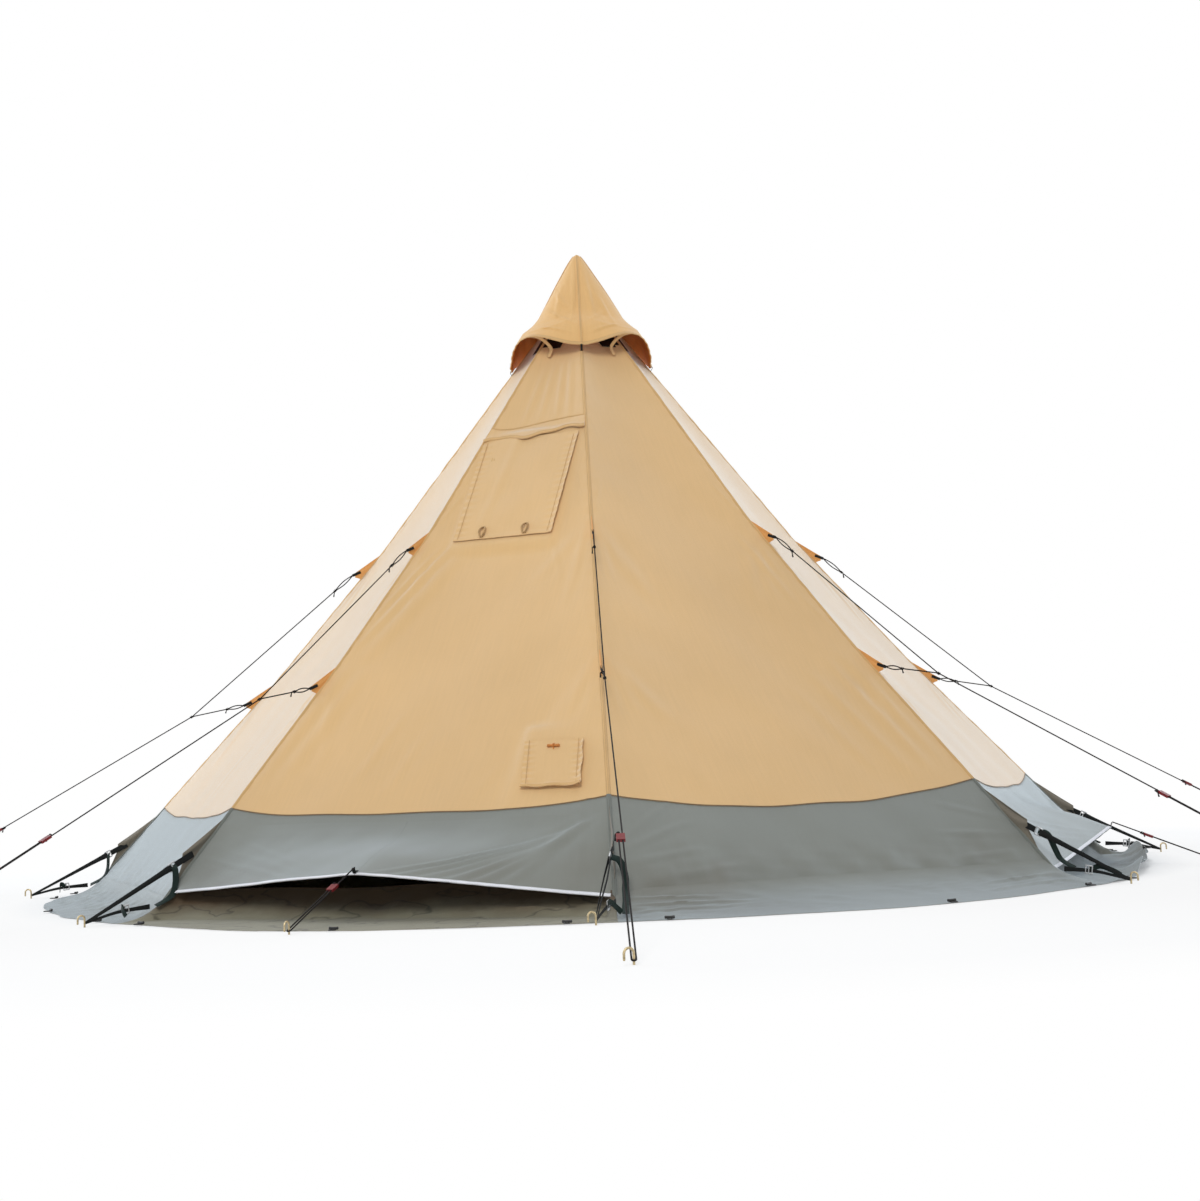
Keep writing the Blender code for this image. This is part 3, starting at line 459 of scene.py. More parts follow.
def thicken(mesh, thickness, lining=False):
    """Gives a sheet its thickness, inwards from its outer face, and a cap its lining, painted orange as
    light shining through the cloth.
    """
    holder = bpy.data.objects.new("sheet_holder", mesh)
    bpy.context.scene.collection.objects.link(holder)
    step = holder.modifiers.new("thickness", "SOLIDIFY")
    step.thickness = thickness
    step.offset = -1.0
    step.use_even_offset = False
    step.material_offset = 1 if lining else 0
    if lining:
        mesh.materials.append(CAP_CANVAS_SHADED)
        mesh.materials.append(LINING_PAINTED_GLOW)
    bpy.context.view_layer.update()
    graph = bpy.context.evaluated_depsgraph_get()
    made = bpy.data.meshes.new_from_object(holder.evaluated_get(graph))
    bpy.data.objects.remove(holder)
    made.set_sharp_from_angle(angle=SHEET_EDGE)
    return made


def closed_strip(rings, uv_across, steps):
    """Points, faces and UVs of a closed strip from equal rings of points."""
    count = len(rings[0])
    points = [point for ring in rings for point in ring]
    faces = [list(range(count))[::-1], list(range((len(rings) - 1) * count, len(rings) * count))]
    uvs = [[(across, steps[0]) for across in uv_across][::-1], [(across, steps[-1]) for across in uv_across]]
    for ring in range(len(rings) - 1):
        for i in range(count):
            j = (i + 1) % count
            corners = ((i, ring), (j, ring), (j, ring + 1), (i, ring + 1))
            faces.append([at + count * row for at, row in corners])
            uvs.append([(uv_across[at], steps[row]) for at, row in corners])
    return points, faces, uvs


def mesh_from(name, points, faces, uvs):
    """A closed mesh with its faces turned outwards."""
    mesh = bpy.data.meshes.new(name)
    mesh.from_pydata([tuple(point) for point in points], [], faces)
    layer = mesh.uv_layers.new(name="UVMap")
    values = [value for face in uvs for place in face for value in place]
    layer.data.foreach_set("uv", np.array(values, np.float32))
    work = bmesh.new()
    work.from_mesh(mesh)
    bmesh.ops.recalc_face_normals(work, faces=work.faces)
    if work.calc_volume(signed=True) < 0:
        bmesh.ops.reverse_faces(work, faces=work.faces)
    work.to_mesh(mesh)
    work.free()
    mesh.shade_smooth()
    mesh.set_sharp_from_angle(angle=PIECE_EDGE)
    return mesh


def unit(vector):
    vector = Vector(vector)
    return vector / vector.length


def directions(path):
    steps = [unit(b - a) for a, b in zip(path, path[1:])]
    return [steps[0]] + [unit(a + b) for a, b in zip(steps, steps[1:])] + [steps[-1]]


def lengths(path):
    total = [0.0]
    for a, b in zip(path, path[1:]):
        total.append(total[-1] + (b - a).length)
    return total


WEBBING_T = 0.0016
# Section of webbing and tape, in shares of its width and its thickness
RIBBON_SHAPE = (
    (-0.5, 0.0), (-0.46, 0.5), (0.0, 0.54), (0.46, 0.5),
    (0.5, 0.0), (0.46, -0.5), (0.0, -0.46), (-0.46, -0.5),
)


def ribbon_mesh(name, path, across, width, thick):
    """A flat band along a path, with softened edges."""
    path = [Vector(point) for point in path]
    rings = []
    for number, (point, direction) in enumerate(zip(path, directions(path))):
        side = Vector(across[number]) if isinstance(across, list) else Vector(across)
        side = unit(side - direction * side.dot(direction))
        normal = side.cross(direction)
        rings.append([point + side * x * width + normal * y * thick for x, y in RIBBON_SHAPE])
    points, faces, uvs = closed_strip(rings, [x * width for x, _ in RIBBON_SHAPE], lengths(path))
    return mesh_from(name, points, faces, uvs)


def ribbon(name, path, across, width, thick, material, body="tent"):
    """A flat band as a piece."""
    return add(name, ribbon_mesh(name, path, across, width, thick), material, body)


def tube_mesh(name, path, radius, sides=10):
    """A round tube along a path; the radius may be a list."""
    path = [Vector(point) for point in path]
    radii = radius if isinstance(radius, list) else [radius] * len(path)
    side = directions(path)[0].orthogonal().normalized()
    turns = [2 * pi * i / sides for i in range(sides)]
    rings = []
    for point, direction, wide in zip(path, directions(path), radii):
        side = unit(side - direction * side.dot(direction))
        other = direction.cross(side)
        rings.append([point + (side * cos(turn) + other * sin(turn)) * wide for turn in turns])
    points, faces, uvs = closed_strip(rings, [turn * radii[0] for turn in turns], lengths(path))
    return mesh_from(name, points, faces, uvs)


def joined(name, meshes):
    """Several meshes as one."""
    work = bmesh.new()
    for mesh in meshes:
        work.from_mesh(mesh)
    made = bpy.data.meshes.new(name)
    work.to_mesh(made)
    work.free()
    made.shade_smooth()
    made.set_sharp_from_angle(angle=PIECE_EDGE)
    return made


def smooth_path(points, count):
    """A curve through points, read at even steps of its parameter."""
    points = [Vector(point) for point in points]
    ends = [points[0] * 2 - points[1]] + points + [points[-1] * 2 - points[-2]]
    made = []
    spans = len(points) - 1
    for i in range(count):
        place = spans * i / (count - 1)
        span = min(int(place), spans - 1)
        t = place - span
        a, b, c, d = ends[span:span + 4]
        squared = (2 * a - 5 * b + 4 * c - d) * t ** 2
        cubed = (3 * b - a - 3 * c + d) * t ** 3
        made.append(0.5 * (2 * b + (c - a) * t + squared + cubed))
    return made


def points_from(origin, axes, rows):
    """Points at rows of distances along some axes from an origin."""
    return [sum((axis * distance for axis, distance in zip(axes, row)), origin) for row in rows]


def cut_window(mesh, outline, through):
    """Cuts a convex window, given by its corners, out of a sheet."""
    outline = [Vector(point) for point in outline]
    centre = sum(outline, Vector()) / len(outline)
    margin = 0.08
    reach = max((point - centre).length for point in outline) + margin
    sides = []
    for a, b in zip(outline, outline[1:] + outline[:1]):
        inward = unit(Vector(through).cross(b - a))
        sides.append((a, inward if inward.dot(centre - a) > 0 else -inward))
    work = bmesh.new()
    work.from_mesh(mesh)
    for a, inward in sides:
        near = [face for face in work.faces if (face.calc_center_median() - centre).length < reach]
        edges = {edge for face in near for edge in face.edges}
        verts = {vert for face in near for vert in face.verts}
        bmesh.ops.bisect_plane(work, geom=[*verts, *edges, *near], plane_co=a, plane_no=inward, dist=0.00002)
    gone = []
    for face in work.faces:
        middle = face.calc_center_median()
        if all((middle - a).dot(inward) > 0 for a, inward in sides) and (middle - centre).length < reach:
            gone.append(face)
    bmesh.ops.delete(work, geom=gone, context="FACES")
    work.to_mesh(mesh)
    work.free()
    mesh.shade_smooth()
    return mesh


# The cloth's surface


def corner_angle(corner):
    return (corner - 1) * 2 * HALF


def facet_angle(facet):
    return corner_angle(facet) + HALF


def axes_at(angle):
    """Unit vectors out and along for a direction round the tent."""
    return np.array([sin(angle), -cos(angle), 0.0]), np.array([cos(angle), sin(angle), 0.0])


def seam_table():
    """Heights and radii of the corner seams, run on past both ends."""
    knots = [(BASE_R, 0.0), (LOWER_TAB_R, LOWER_TAB_Z), (UPPER_TAB_R, UPPER_TAB_Z), (NECK_R, NECK_Z)]
    below = -0.3
    first = (BASE_R + (BASE_R - LOWER_TAB_R) / LOWER_TAB_Z * -below, below)
    slope = (UPPER_TAB_R - NECK_R) / (NECK_Z - UPPER_TAB_Z)
    last = (HEAD_R, NECK_Z + (NECK_R - HEAD_R) / slope)
    knots = [first] + knots + [last]
    return np.array([z for _, z in knots]), np.array([r for r, _ in knots])


SEAM_ZS, SEAM_RS = seam_table()
HEAD_Z = SEAM_ZS[-1]
RUNS = np.concatenate([[0.0], np.cumsum(np.hypot(np.diff(SEAM_RS) * cos(HALF), np.diff(SEAM_ZS)))])
RUNS = RUNS - np.interp(0.0, SEAM_ZS, RUNS)


def seam_radius(height):
    return np.interp(height, SEAM_ZS, SEAM_RS)


def soft_radius(height):
    """The seams' radius with its bends eased, for the middle of a facet."""
    steps = np.linspace(-0.12, 0.12, 7)
    return sum(seam_radius(np.clip(height + step, SEAM_ZS[0], HEAD_Z)) for step in steps) / len(steps)


def run_at(height):
    """Distance up the slope from the ground."""
    return np.interp(height, SEAM_ZS, RUNS)


def slope_of(height):
    """How far the facet's plane moves in for each metre up."""
    step = 0.06
    lowest = -0.2
    low = soft_radius(np.clip(height - step, lowest, HEAD_Z - 2 * step))
    high = soft_radius(np.clip(height + step, lowest + 2 * step, HEAD_Z))
    return (low - high) / (2 * step) * cos(HALF)


def half_width(height):
    return seam_radius(height) * sin(HALF)


HINGE_HALF_W = float(half_width(HINGE_Z))


def waves(u, v, length, seed):
    """Smooth seeded unevenness of about -2 to 2, its bumps about a length apart."""
    count = 9
    chance = np.random.RandomState(seed)
    total = np.zeros(np.broadcast(u, v).shape)
    for _ in range(count):
        angle = chance.uniform(0, 2 * pi)
        reach = length * chance.uniform(0.7, 1.5)
        turns = (u * cos(angle) + v * sin(angle)) * 2 * pi / reach
        total = total + np.sin(turns + chance.uniform(0, 2 * pi))
    return total / sqrt(count)


def fold(u, v, start, end, width, height):
    """A straight tension fold, a ridge between two shallow valleys, that dies out at its ends."""
    run_u, run_v = end[0] - start[0], end[1] - start[1]
    length = sqrt(run_u ** 2 + run_v ** 2)
    share = ((u - start[0]) * run_u + (v - start[1]) * run_v) / length ** 2
    aside = ((u - start[0]) * run_v - (v - start[1]) * run_u) / length / width
    envelope = np.sin(pi * np.clip(share, 0, 1)) ** 0.7
    return height * np.cos(aside * 1.6) * np.exp(-aside ** 2 / 2) * envelope


def box_mask(u, z, centre, size):
    """1 inside a box of a facet, 0 outside, with a soft edge."""
    soft = 0.03
    inside_u = np.clip((size[0] / 2 - np.abs(u - centre[0])) / soft + 1, 0, 1)
    inside_z = np.clip((size[1] / 2 - np.abs(z - centre[1])) / soft + 1, 0, 1)
    return inside_u * inside_z


# Folds that the photograph shows: across, height, across, height, width, height of the ridge
SHOWN_FOLDS = {
    8: (
        (-0.240, 1.560, -0.535, 1.080, 0.022, 0.0085),
        (-0.300, 1.540, -0.580, 1.110, 0.016, 0.0055),
        (-0.200, 1.500, -0.500, 1.000, 0.045, 0.0050),
        (0.215, 1.560, 0.330, 1.330, 0.012, 0.0030),
        (0.150, 2.150, 0.075, 2.500, 0.020, 0.0050),
        (0.080, 2.160, 0.040, 2.490, 0.018, 0.0040),
        (-0.010, 2.150, -0.005, 2.480, 0.020, 0.0030),
        (-0.090, 2.150, -0.050, 2.470, 0.020, 0.0030),
        (-0.545, 1.000, -0.760, 0.480, 0.040, 0.0095),
        (-0.470, 0.980, -0.640, 0.520, 0.050, 0.0060),
        (-0.190, 0.780, -0.300, 0.500, 0.022, 0.0030),
        (-0.050, 0.720, -0.150, 0.440, 0.020, 0.0022),
        (0.330, 0.560, 0.250, 0.430, 0.012, 0.0025),
        (0.640, 0.420, 0.780, 0.290, 0.012, 0.0035),
        (0.700, 0.440, 0.800, 0.330, 0.010, 0.0030),
    ),
    1: (
        (0.520, 0.960, 0.720, 0.480, 0.030, 0.0055),
        (0.430, 0.950, 0.640, 0.450, 0.026, 0.0045),
        (0.320, 0.900, 0.540, 0.440, 0.030, 0.0040),
        (0.200, 0.840, 0.400, 0.440, 0.028, 0.0025),
        (0.300, 1.560, 0.420, 1.200, 0.020, 0.0030),
        (-0.880, 0.220, -0.560, 0.390, 0.014, 0.0040),
        (-0.900, 0.200, -0.520, 0.310, 0.016, 0.0036),
        (-0.880, 0.170, -0.500, 0.210, 0.016, 0.0028),
        (-0.800, 0.110, -0.350, 0.150, 0.018, 0.0022),
        (0.880, 0.240, 0.560, 0.330, 0.016, 0.0026),
        (0.890, 0.190, 0.480, 0.220, 0.016, 0.0030),
        (0.860, 0.130, 0.520, 0.120, 0.014, 0.0030),
    ),
    2: (
        (-0.500, 0.950, -0.680, 0.500, 0.024, 0.0040),
        (-0.350, 1.550, -0.450, 1.200, 0.018, 0.0030),
    ),
    7: (
        (0.500, 0.950, 0.680, 0.500, 0.026, 0.0040),
        (0.330, 1.550, 0.450, 1.150, 0.018, 0.0030),
        (0.000, 0.700, 0.060, 0.440, 0.030, 0.0030),
    ),
}
FOLD_DEPTH = 1.10


def usual_folds(facet):
    """Soft folds that run down from every guy tab."""
    chance = np.random.RandomState(40 + facet)
    made = []
    for side in (-1, 1):
        for height in (LOWER_TAB_Z, UPPER_TAB_Z):
            high = height - 0.05
            for lean in (0.05, 0.13, 0.24):
                drop = chance.uniform(0.22, 0.42)
                start = side * (half_width(height) - 0.012)
                end = side * (half_width(height - drop) - lean - chance.uniform(0.0, 0.05))
                ridge = chance.uniform(0.002, 0.0045)
                made.append((start, high, end, high - drop, 0.012 + lean * 0.10, ridge))
            rise = chance.uniform(0.15, 0.30)
            start = side * (half_width(height) - 0.015)
            end = side * (half_width(height + rise) - 0.06)
            made.append((start, height, end, height + rise, 0.012, 0.0025))
    return made


def relief(facet, u, z, share):
    """How far the cloth of a facet stands off its plane."""
    v = run_at(z)
    top = run_at(HEAD_Z)
    made = -SAG * (1 - share ** 2) * np.sin(pi * np.clip(v / top, 0, 1)) ** 0.6
    made = made + waves(u, v, 0.60, 11 + facet) * 0.0026 + waves(u, v, 0.24, 31 + facet) * 0.0009
    folds = [(*line, ridge * FOLD_DEPTH) for *line, ridge in SHOWN_FOLDS.get(facet, ())]
    for u0, z0, u1, z1, width, ridge in folds + usual_folds(facet):
        made = made + fold(u, v, (u0, run_at(z0)), (u1, run_at(z1)), width, ridge)
    near_ground = np.clip((0.24 - z) / 0.20, 0, 1)
    crumple = waves(u, v, 0.16, 51 + facet) * 0.0045 + waves(u, v, 0.07, 61 + facet) * 0.0016
    made = made + near_ground * crumple
    if facet == HATCH_FACET:
        pipe = (PIPE_FLAP_SHIFT, (PIPE_FLAP_LOW_Z + PIPE_FLAP_TOP_Z) / 2)
        flat = box_mask(u, z, pipe, (PIPE_FLAP_W, PIPE_FLAP_TOP_Z - PIPE_FLAP_LOW_Z + 0.06))
        small = (SMALL_HATCH_MIDDLE, SMALL_FLAP_LOW_Z + SMALL_FLAP[1] * 0.38)
        flat = np.maximum(flat, box_mask(u, z, small, (SMALL_FLAP[0] + 0.04, SMALL_FLAP[1] + 0.04)))
        made = made * (1 - flat) - 0.004 * flat
    made = made * (1 - np.abs(share) ** 8)
    from_seam = (1 - np.abs(share)) * half_width(z)
    pucker = np.sin(2 * pi * v / 0.083 + waves(u, v, 0.3, 71 + facet)) * np.exp(-(from_seam / 0.030) ** 2)
    return made + 0.0012 * pucker * (1 - np.abs(share) ** 90)


def facet_surface(facet, share, height, lift=0.0):
    """Points of a facet's cloth at shares and heights, lifted off it."""
    out, along = axes_at(facet_angle(facet))
    share, height = np.broadcast_arrays(np.asarray(share, float), np.asarray(height, float))
    sharp = seam_radius(height)
    radius = soft_radius(height) * (1 - share ** 2) + sharp * share ** 2
    aside = share * sharp * sin(HALF)
    slope = slope_of(height)
    off = relief(facet, aside, height, share) + lift
    level = 1 / np.sqrt(1 + slope ** 2)
    points = (radius * cos(HALF) + level * off)[..., None] * out + aside[..., None] * along
    points[..., 2] += height + slope * level * off
    return points


def facet_uv(share, height):
    return np.stack([share * half_width(height), run_at(height)], axis=-1)


def band_height(facet, share):
    """Height of the seam between canvas and wall, which sags between the corners."""
    sag, power = BAND_SAG.get(facet, USUAL_BAND_SAG)
    dip = sag * (1 - np.abs(share) ** power)
    return BAND_Z - dip + 0.0025 * waves(share, share * 0.0, 0.5, 81 + facet) * (1 - share ** 4)


def shares(columns):
    """Shares across a facet, closer together near the seams."""
    even = np.linspace(-1, 1, columns)
    return 0.7 * even + 0.3 * np.sin(even * pi / 2)


def facet_points(facet, aside, height, lift=0.0):
    """Points of a facet given across in metres, instead of as a share."""
    aside, height = np.broadcast_arrays(np.asarray(aside, float), np.asarray(height, float))
    return facet_surface(facet, aside / half_width(height), height, lift)


def plane_of(facet, low_z, high_z):
    """Origin, along, up-slope and outward normal of a facet's flat stretch between two heights."""
    out, along = (Vector(axis) for axis in axes_at(facet_angle(facet)))
    low, high = (out * (seam_radius(z) * cos(HALF)) + UP * z for z in (low_z, high_z))
    rise = unit(high - low)
    return low, along, rise, along.cross(rise)


def at_corner(corner, radius, height, aside=0.0):
    out, along = axes_at(corner_angle(corner))
    return Vector(out * radius + along * aside) + UP * height


# Cords


def line_start(facet):
    """Where a vent line is tied to the loop on its flap."""
    hinge, _, lifted, normal = flap_frame(facet)
    reach = PULL_TAB_H + CORD_D / 2 + TOUCH
    return hinge + lifted * (FLAP_L - PULL_TAB_T) + normal * reach


def flap_frame(facet):
    """Hinge middle, along, the flap's direction at rest and its outward normal."""
    low, along, rise, normal = plane_of(facet, 0.0, LOWER_TAB_Z)
    hinge = low + rise * (HINGE_Z / rise.z)
    down = -rise
    if facet in OPEN_VENTS:
        down = -rise * cos(FLAP_SWING) + normal * sin(FLAP_SWING)
    return hinge, along, down, along.cross(-down)


def tab_tip(corner, height):
    """Where a line is tied to a guy tab."""
    tip_z = height - TAB_DROP
    return at_corner(corner, float(seam_radius(tip_z)) + TAB_OUT + KNOT_L / 2 + TOUCH, tip_z, 0.0026)


def doubled_line(start, loop, share):
    """Points from a line's start round the peg and back to the slider, and the slider's frame."""
    direction = unit(loop - start)
    side = unit(direction.cross(UP))
    slider = start + direction * (loop - start).length * share
    path = [place - side * STRAND_SIDE for place in (start, slider, loop)]
    for i in range(1, 6):
        angle = pi * i / 6
        path.append(loop - side * STRAND_SIDE * cos(angle) + direction * STRAND_SIDE * sin(angle))
    back_end = slider - direction * (SLIDER_L / 2 + KNOT_L / 2 + TOUCH)
    path += [place + side * STRAND_SIDE for place in (loop, back_end)]
    return path, slider, direction, side


def cord_curve(name, path, body, replaced=()):
    """A cord as one open spline along a path."""
    data = bpy.data.curves.new(name, "CURVE")
    data.dimensions = "3D"
    data.bevel_depth = CORD_D / 2
    data.bevel_resolution = 2
    data.use_fill_caps = True
    spline = data.splines.new("POLY")
    spline.points.add(len(path) - 1)
    for point, place in zip(spline.points, path):
        point.co = (*place, 1.0)
    data.materials.append(CORD)
    made = bpy.data.objects.new(name, data)
    bpy.context.scene.collection.objects.link(made)
    if replaced:
        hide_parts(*replaced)
    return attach(made, body)


def knot(name, centre, axis, tail):
    """A small overhand knot with a short tail, which hangs."""
    axis = unit(axis)
    side = unit(axis.cross(UP))
    other = axis.cross(side)
    half = 12
    turns = []
    for i in range(-half, half + 1):
        angle = 2 * pi * (i + half) / half
        wide = 0.0048 - 0.0016 * abs(i) / half
        place = centre + axis * i * 0.0006
        turns.append(place + side * cos(angle) * wide + other * sin(angle) * wide)
    meshes = [tube_mesh(name, turns, CORD_D / 2 * 0.95, 8)]
    if tail:
        end = centre + side * 0.010 + axis * 0.012 - UP * tail
        path = smooth_path([centre + side * 0.002, centre + side * 0.009 + axis * 0.006, end], 9)
        meshes.append(tube_mesh(name, path, [CORD_D / 2 * 0.9] * 7 + [CORD_D / 2 * 1.2] * 2, 8))
    return add(name, joined(name, meshes), CORD, "tent")


def peg_path(foot, out):
    """A hooked peg's centre line from the ground up, its hook turned away from the tent."""
    path = [foot + UP * 0.0002, foot + UP * PEG_STEM]
    for i in range(1, 13):
        angle = pi * i / 12
        path.append(foot + UP * (PEG_STEM + PEG_HOOK_R * sin(angle)) + out * PEG_HOOK_R * (1 - cos(angle)))
    path.append(path[-1] - UP * PEG_TAIL * 0.8)
    path.append(path[-1] - UP * PEG_TAIL * 0.2)
    return path


def peg(name, foot, out, replaced=()):
    path = peg_path(foot, out)
    radii = [PEG_D / 2] * (len(path) - 1) + [PEG_D / 2 * 0.72]
    return add(name, tube_mesh(name, path, radii, 12), BRONZE, "tent", replaced)


def hook_way(corner):
    """Where a corner peg's hook points: away from the tent, but aside at the front corner."""
    turn = FRONT_HOOK_TURN if corner == 1 else 0.0
    return Vector(axes_at(corner_angle(corner) + turn)[0])


def bowed(start, end, side, bow):
    """A strand that bows a little to one side between two points."""
    spans = 8
    return [start.lerp(end, i / spans) + side * bow * sin(pi * i / spans) for i in range(spans + 1)]


# The loop with which a line is tied to a guy tab
LOOP_L = 0.115
LOOP_BOW = 0.0075


def guyline_set(corner):
    """A corner's guyline: two tied loops, the branch, the doubled end with its slider, and the peg."""
    out = Vector(axes_at(corner_angle(corner))[0])
    foot = out * (FRONT_GUY_PEG_R if corner == 1 else GUY_PEG_R)
    share = FRONT_SLIDER_SHARE if corner == 1 else SLIDER_SHARE
    junction = at_corner(corner, BRIDLE_R, BRIDLE_Z)
    path, _, direction, _ = doubled_line(junction, foot + UP * LOOP_Z, share)
    pieces = [
        knot(f"guy_end_knot_{corner}", path[-1], direction, 0.016),
        peg(f"guy_peg_hook_{corner}", foot, hook_way(corner), [f"guy_peg_{corner}"]),
        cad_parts[f"guy_slider_{corner}"],
    ]
    tips = [tab_tip(corner, height) for height in (UPPER_TAB_Z, LOWER_TAB_Z)]
    ties = []
    for tip, length in zip(tips, (LOOP_L, LOOP_L * 0.7)):
        reach = unit(path[0] - tip)
        tie = tip + reach * length
        across = unit(reach.cross(UP)).cross(reach)
        ties.append((tie, bowed(tip, tie, across, LOOP_BOW), bowed(tip, tie, across, -LOOP_BOW), reach))
    upper, lower = ties
    main_path = upper[1] + path
    main = cord_curve(f"guyline_{corner}", main_path, "tent", [f"guy_line_{corner}"])
    pieces.append(knot(f"guy_upper_knot_{corner}", upper[0], upper[3], 0.022))
    pieces.append(knot(f"guy_junction_knot_{corner}", path[0] + direction * 0.003, direction, 0.0))
    branch_path = lower[1] + [path[0] + unit(lower[0] - path[0]) * 0.002]
    branch = cord_curve(f"guy_branch_{corner}", branch_path, "tent")
    lower_knot = knot(f"guy_lower_knot_{corner}", lower[0], lower[3], 0.018)
    for level, tip, (_, _, strand, _) in zip(("upper", "lower"), tips, ties):
        loop = cord_curve(f"guy_{level}_loop_{corner}", strand, "tent")


def vent_line_set(facet):
    """The short line that holds a vent flap out: it bends between the flap and the ground."""
    out = Vector(axes_at(facet_angle(facet))[0])
    foot = out * VENT_PEG_R
    start = line_start(facet)
    path, slider, direction, _ = doubled_line(start, foot + UP * LOOP_Z, VENT_SLIDER_SHARE)
    fine = [path[0].lerp(path[1], i / 8) for i in range(8)] + path[1:]
    mesh = tube_mesh(f"vent_line_cord_{facet}", fine, CORD_D / 2, 10)
    line = add(f"vent_line_cord_{facet}", mesh, CORD, None, [f"vent_line_{facet}"])
    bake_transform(line)
    pieces = [
        knot(f"vent_end_knot_{facet}", path[-1], direction, 0.012),
        peg(f"vent_peg_hook_{facet}", foot, out, [f"vent_peg_{facet}"]),
        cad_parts[f"vent_slider_{facet}"],
    ]


def repaint(node, material):
    """Gives a solid that stays in view its material."""
    node.data.materials.clear()
    node.data.materials.append(material)


def dress_sliders():
    """The sliders keep their solids, with their edges eased."""
    for name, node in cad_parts.items():
        if "slider" in name and not name.startswith("door"):
            repaint(node, RED)
            ease = node.modifiers.new("eased", "BEVEL")
            ease.width = 0.0016
            ease.segments = 2
            ease.limit_method = "ANGLE"


# Canvas, wall and seams


# Share of its rectangle below which a sheet is measured as a frame, as long as its two sides and its top
LEAST_FILL = 0.31
# How far the cloths lie off the surface of a facet
CANVAS_OFF = 0.0012
WALL_OFF = -0.0006


def mesh_area(mesh):
    return sum(face.area for face in mesh.polygons)


def declare_sheet(points, area):
    """Works out the flat size that a sheet's grid measures, as a frame where cuts leave too little of it;
    nothing is done with the size.
    """
    rows = np.linalg.norm(np.diff(points, axis=0), axis=-1).sum(axis=0)
    columns = np.linalg.norm(np.diff(points, axis=1), axis=-1).sum(axis=1)
    flat = (round(float(columns.max()), 3), round(float(rows.max()), 3))
    full = flat[0] * flat[1]
    if area < LEAST_FILL * full:
        length = flat[0] + 2 * flat[1]
        flat = (round(length, 3), round(area / length, 4))
        full = flat[0] * flat[1]


def cloth(name, mesh, points, thickness, material, body, replaced):
    """A sheet as a piece: measured and thickened."""
    area = mesh_area(mesh)
    made = add(name, thicken(mesh, thickness), material, body, replaced)
    declare_sheet(points, area)


def door_half(height):
    share = (height - DOOR_SILL_Z) / (DOOR_TOP_Z - DOOR_SILL_Z)
    return DOOR_BOTTOM_HALF_W + (DOOR_TOP_HALF_W - DOOR_BOTTOM_HALF_W) * share


def window(facet, low_z, high_z, low_half, high_half):
    """Corners of a window in a facet's plane, and the way through it."""
    low, along, rise, normal = plane_of(facet, low_z, high_z)
    high = low + rise * ((high_z - low_z) / rise.z)
    low_aside, high_aside = along * low_half, along * high_half
    return [low - low_aside, low + low_aside, high + high_aside, high - high_aside], normal


def hatch_window(low_z, high_z, shift, flap_h, hole):
    """Corners of a hatch's hole, centred under its flap."""
    low, along, rise, normal = plane_of(HATCH_FACET, low_z, high_z)
    centre = low + along * shift + rise * flap_h / 2
    signs = ((-1, -1), (1, -1), (1, 1), (-1, 1))
    return [centre + along * x * hole[0] / 2 + rise * y * hole[1] / 2 for x, y in signs], normal


def pipe_flap_height():
    _, _, rise, _ = plane_of(HATCH_FACET, PIPE_FLAP_LOW_Z, PIPE_FLAP_TOP_Z)
    return (PIPE_FLAP_TOP_Z - PIPE_FLAP_LOW_Z) / rise.z


def pipe_hole():
    return hatch_window(PIPE_FLAP_LOW_Z, PIPE_FLAP_TOP_Z, PIPE_FLAP_SHIFT, pipe_flap_height(), PIPE_HOLE)


def small_hole():
    return hatch_window(SMALL_FLAP_LOW_Z, LOWER_TAB_Z, SMALL_HATCH_MIDDLE, SMALL_FLAP[1], SMALL_HOLE)


def doorway():
    return window(DOOR_FACET, DOOR_SILL_Z, DOOR_TOP_Z, DOOR_BOTTOM_HALF_W, DOOR_TOP_HALF_W)


def top_vent(corner):
    """Corners of the hole across a corner's seam under the cap, and the way through it."""
    out, along = axes_at(corner_angle(corner))
    middle_z = (NET_LOW_Z + TOP_VENT_HIGH_Z) / 2
    centre = at_corner(corner, float(seam_radius(middle_z)), middle_z)
    rise = UP * ((TOP_VENT_HIGH_Z - NET_LOW_Z) / 2)
    aside = Vector(along) * TOP_VENT_HALF_W
    return [centre - aside - rise, centre + aside - rise, centre + aside + rise, centre - aside + rise], out


def canvas_skin(facet):
    """One gore of canvas, from the sagging band seam to the pole head."""
    name = f"canvas_gore_{facet}"
    shown = facet in (1, 2, 7, 8)
    columns, rows = (81, 151) if shown else (57, 101)
    share = shares(columns)[None, :]
    low = band_height(facet, share)
    height = low + (HEAD_Z - 0.004 - low) * np.linspace(0, 1, rows)[:, None]
    share = np.broadcast_to(share, height.shape)
    points = facet_surface(facet, share, height, CANVAS_OFF)
    mesh = grid_mesh(name, points, facet_uv(share, height))
    holes = [top_vent(facet if facet % 2 == 0 else facet % SIDES + 1)]
    if facet == DOOR_FACET:
        holes.append(doorway())
    if facet == HATCH_FACET:
        holes += [pipe_hole(), small_hole()]
    for outline, through in holes:
        cut_window(mesh, outline, through)
    cloth(name, mesh, points, CANVAS_T, CANVAS, "tent", [f"canvas_panel_{facet}"])


def band_seam(facet):
    """The felled seam between canvas and wall, a thin brown line: its stitched tape, darkened as painted
    shade of the step between the cloths.
    """
    share = shares(61)
    height = band_height(facet, share) + 0.001
    points = facet_surface(facet, share, height, 0.0022)
    _, _, rise, _ = plane_of(facet, 0.2, 0.6)
    ribbon(f"band_seam_{facet}", points.tolist(), rise, 0.0040, 0.0016, PIPING_AND_SHADE)


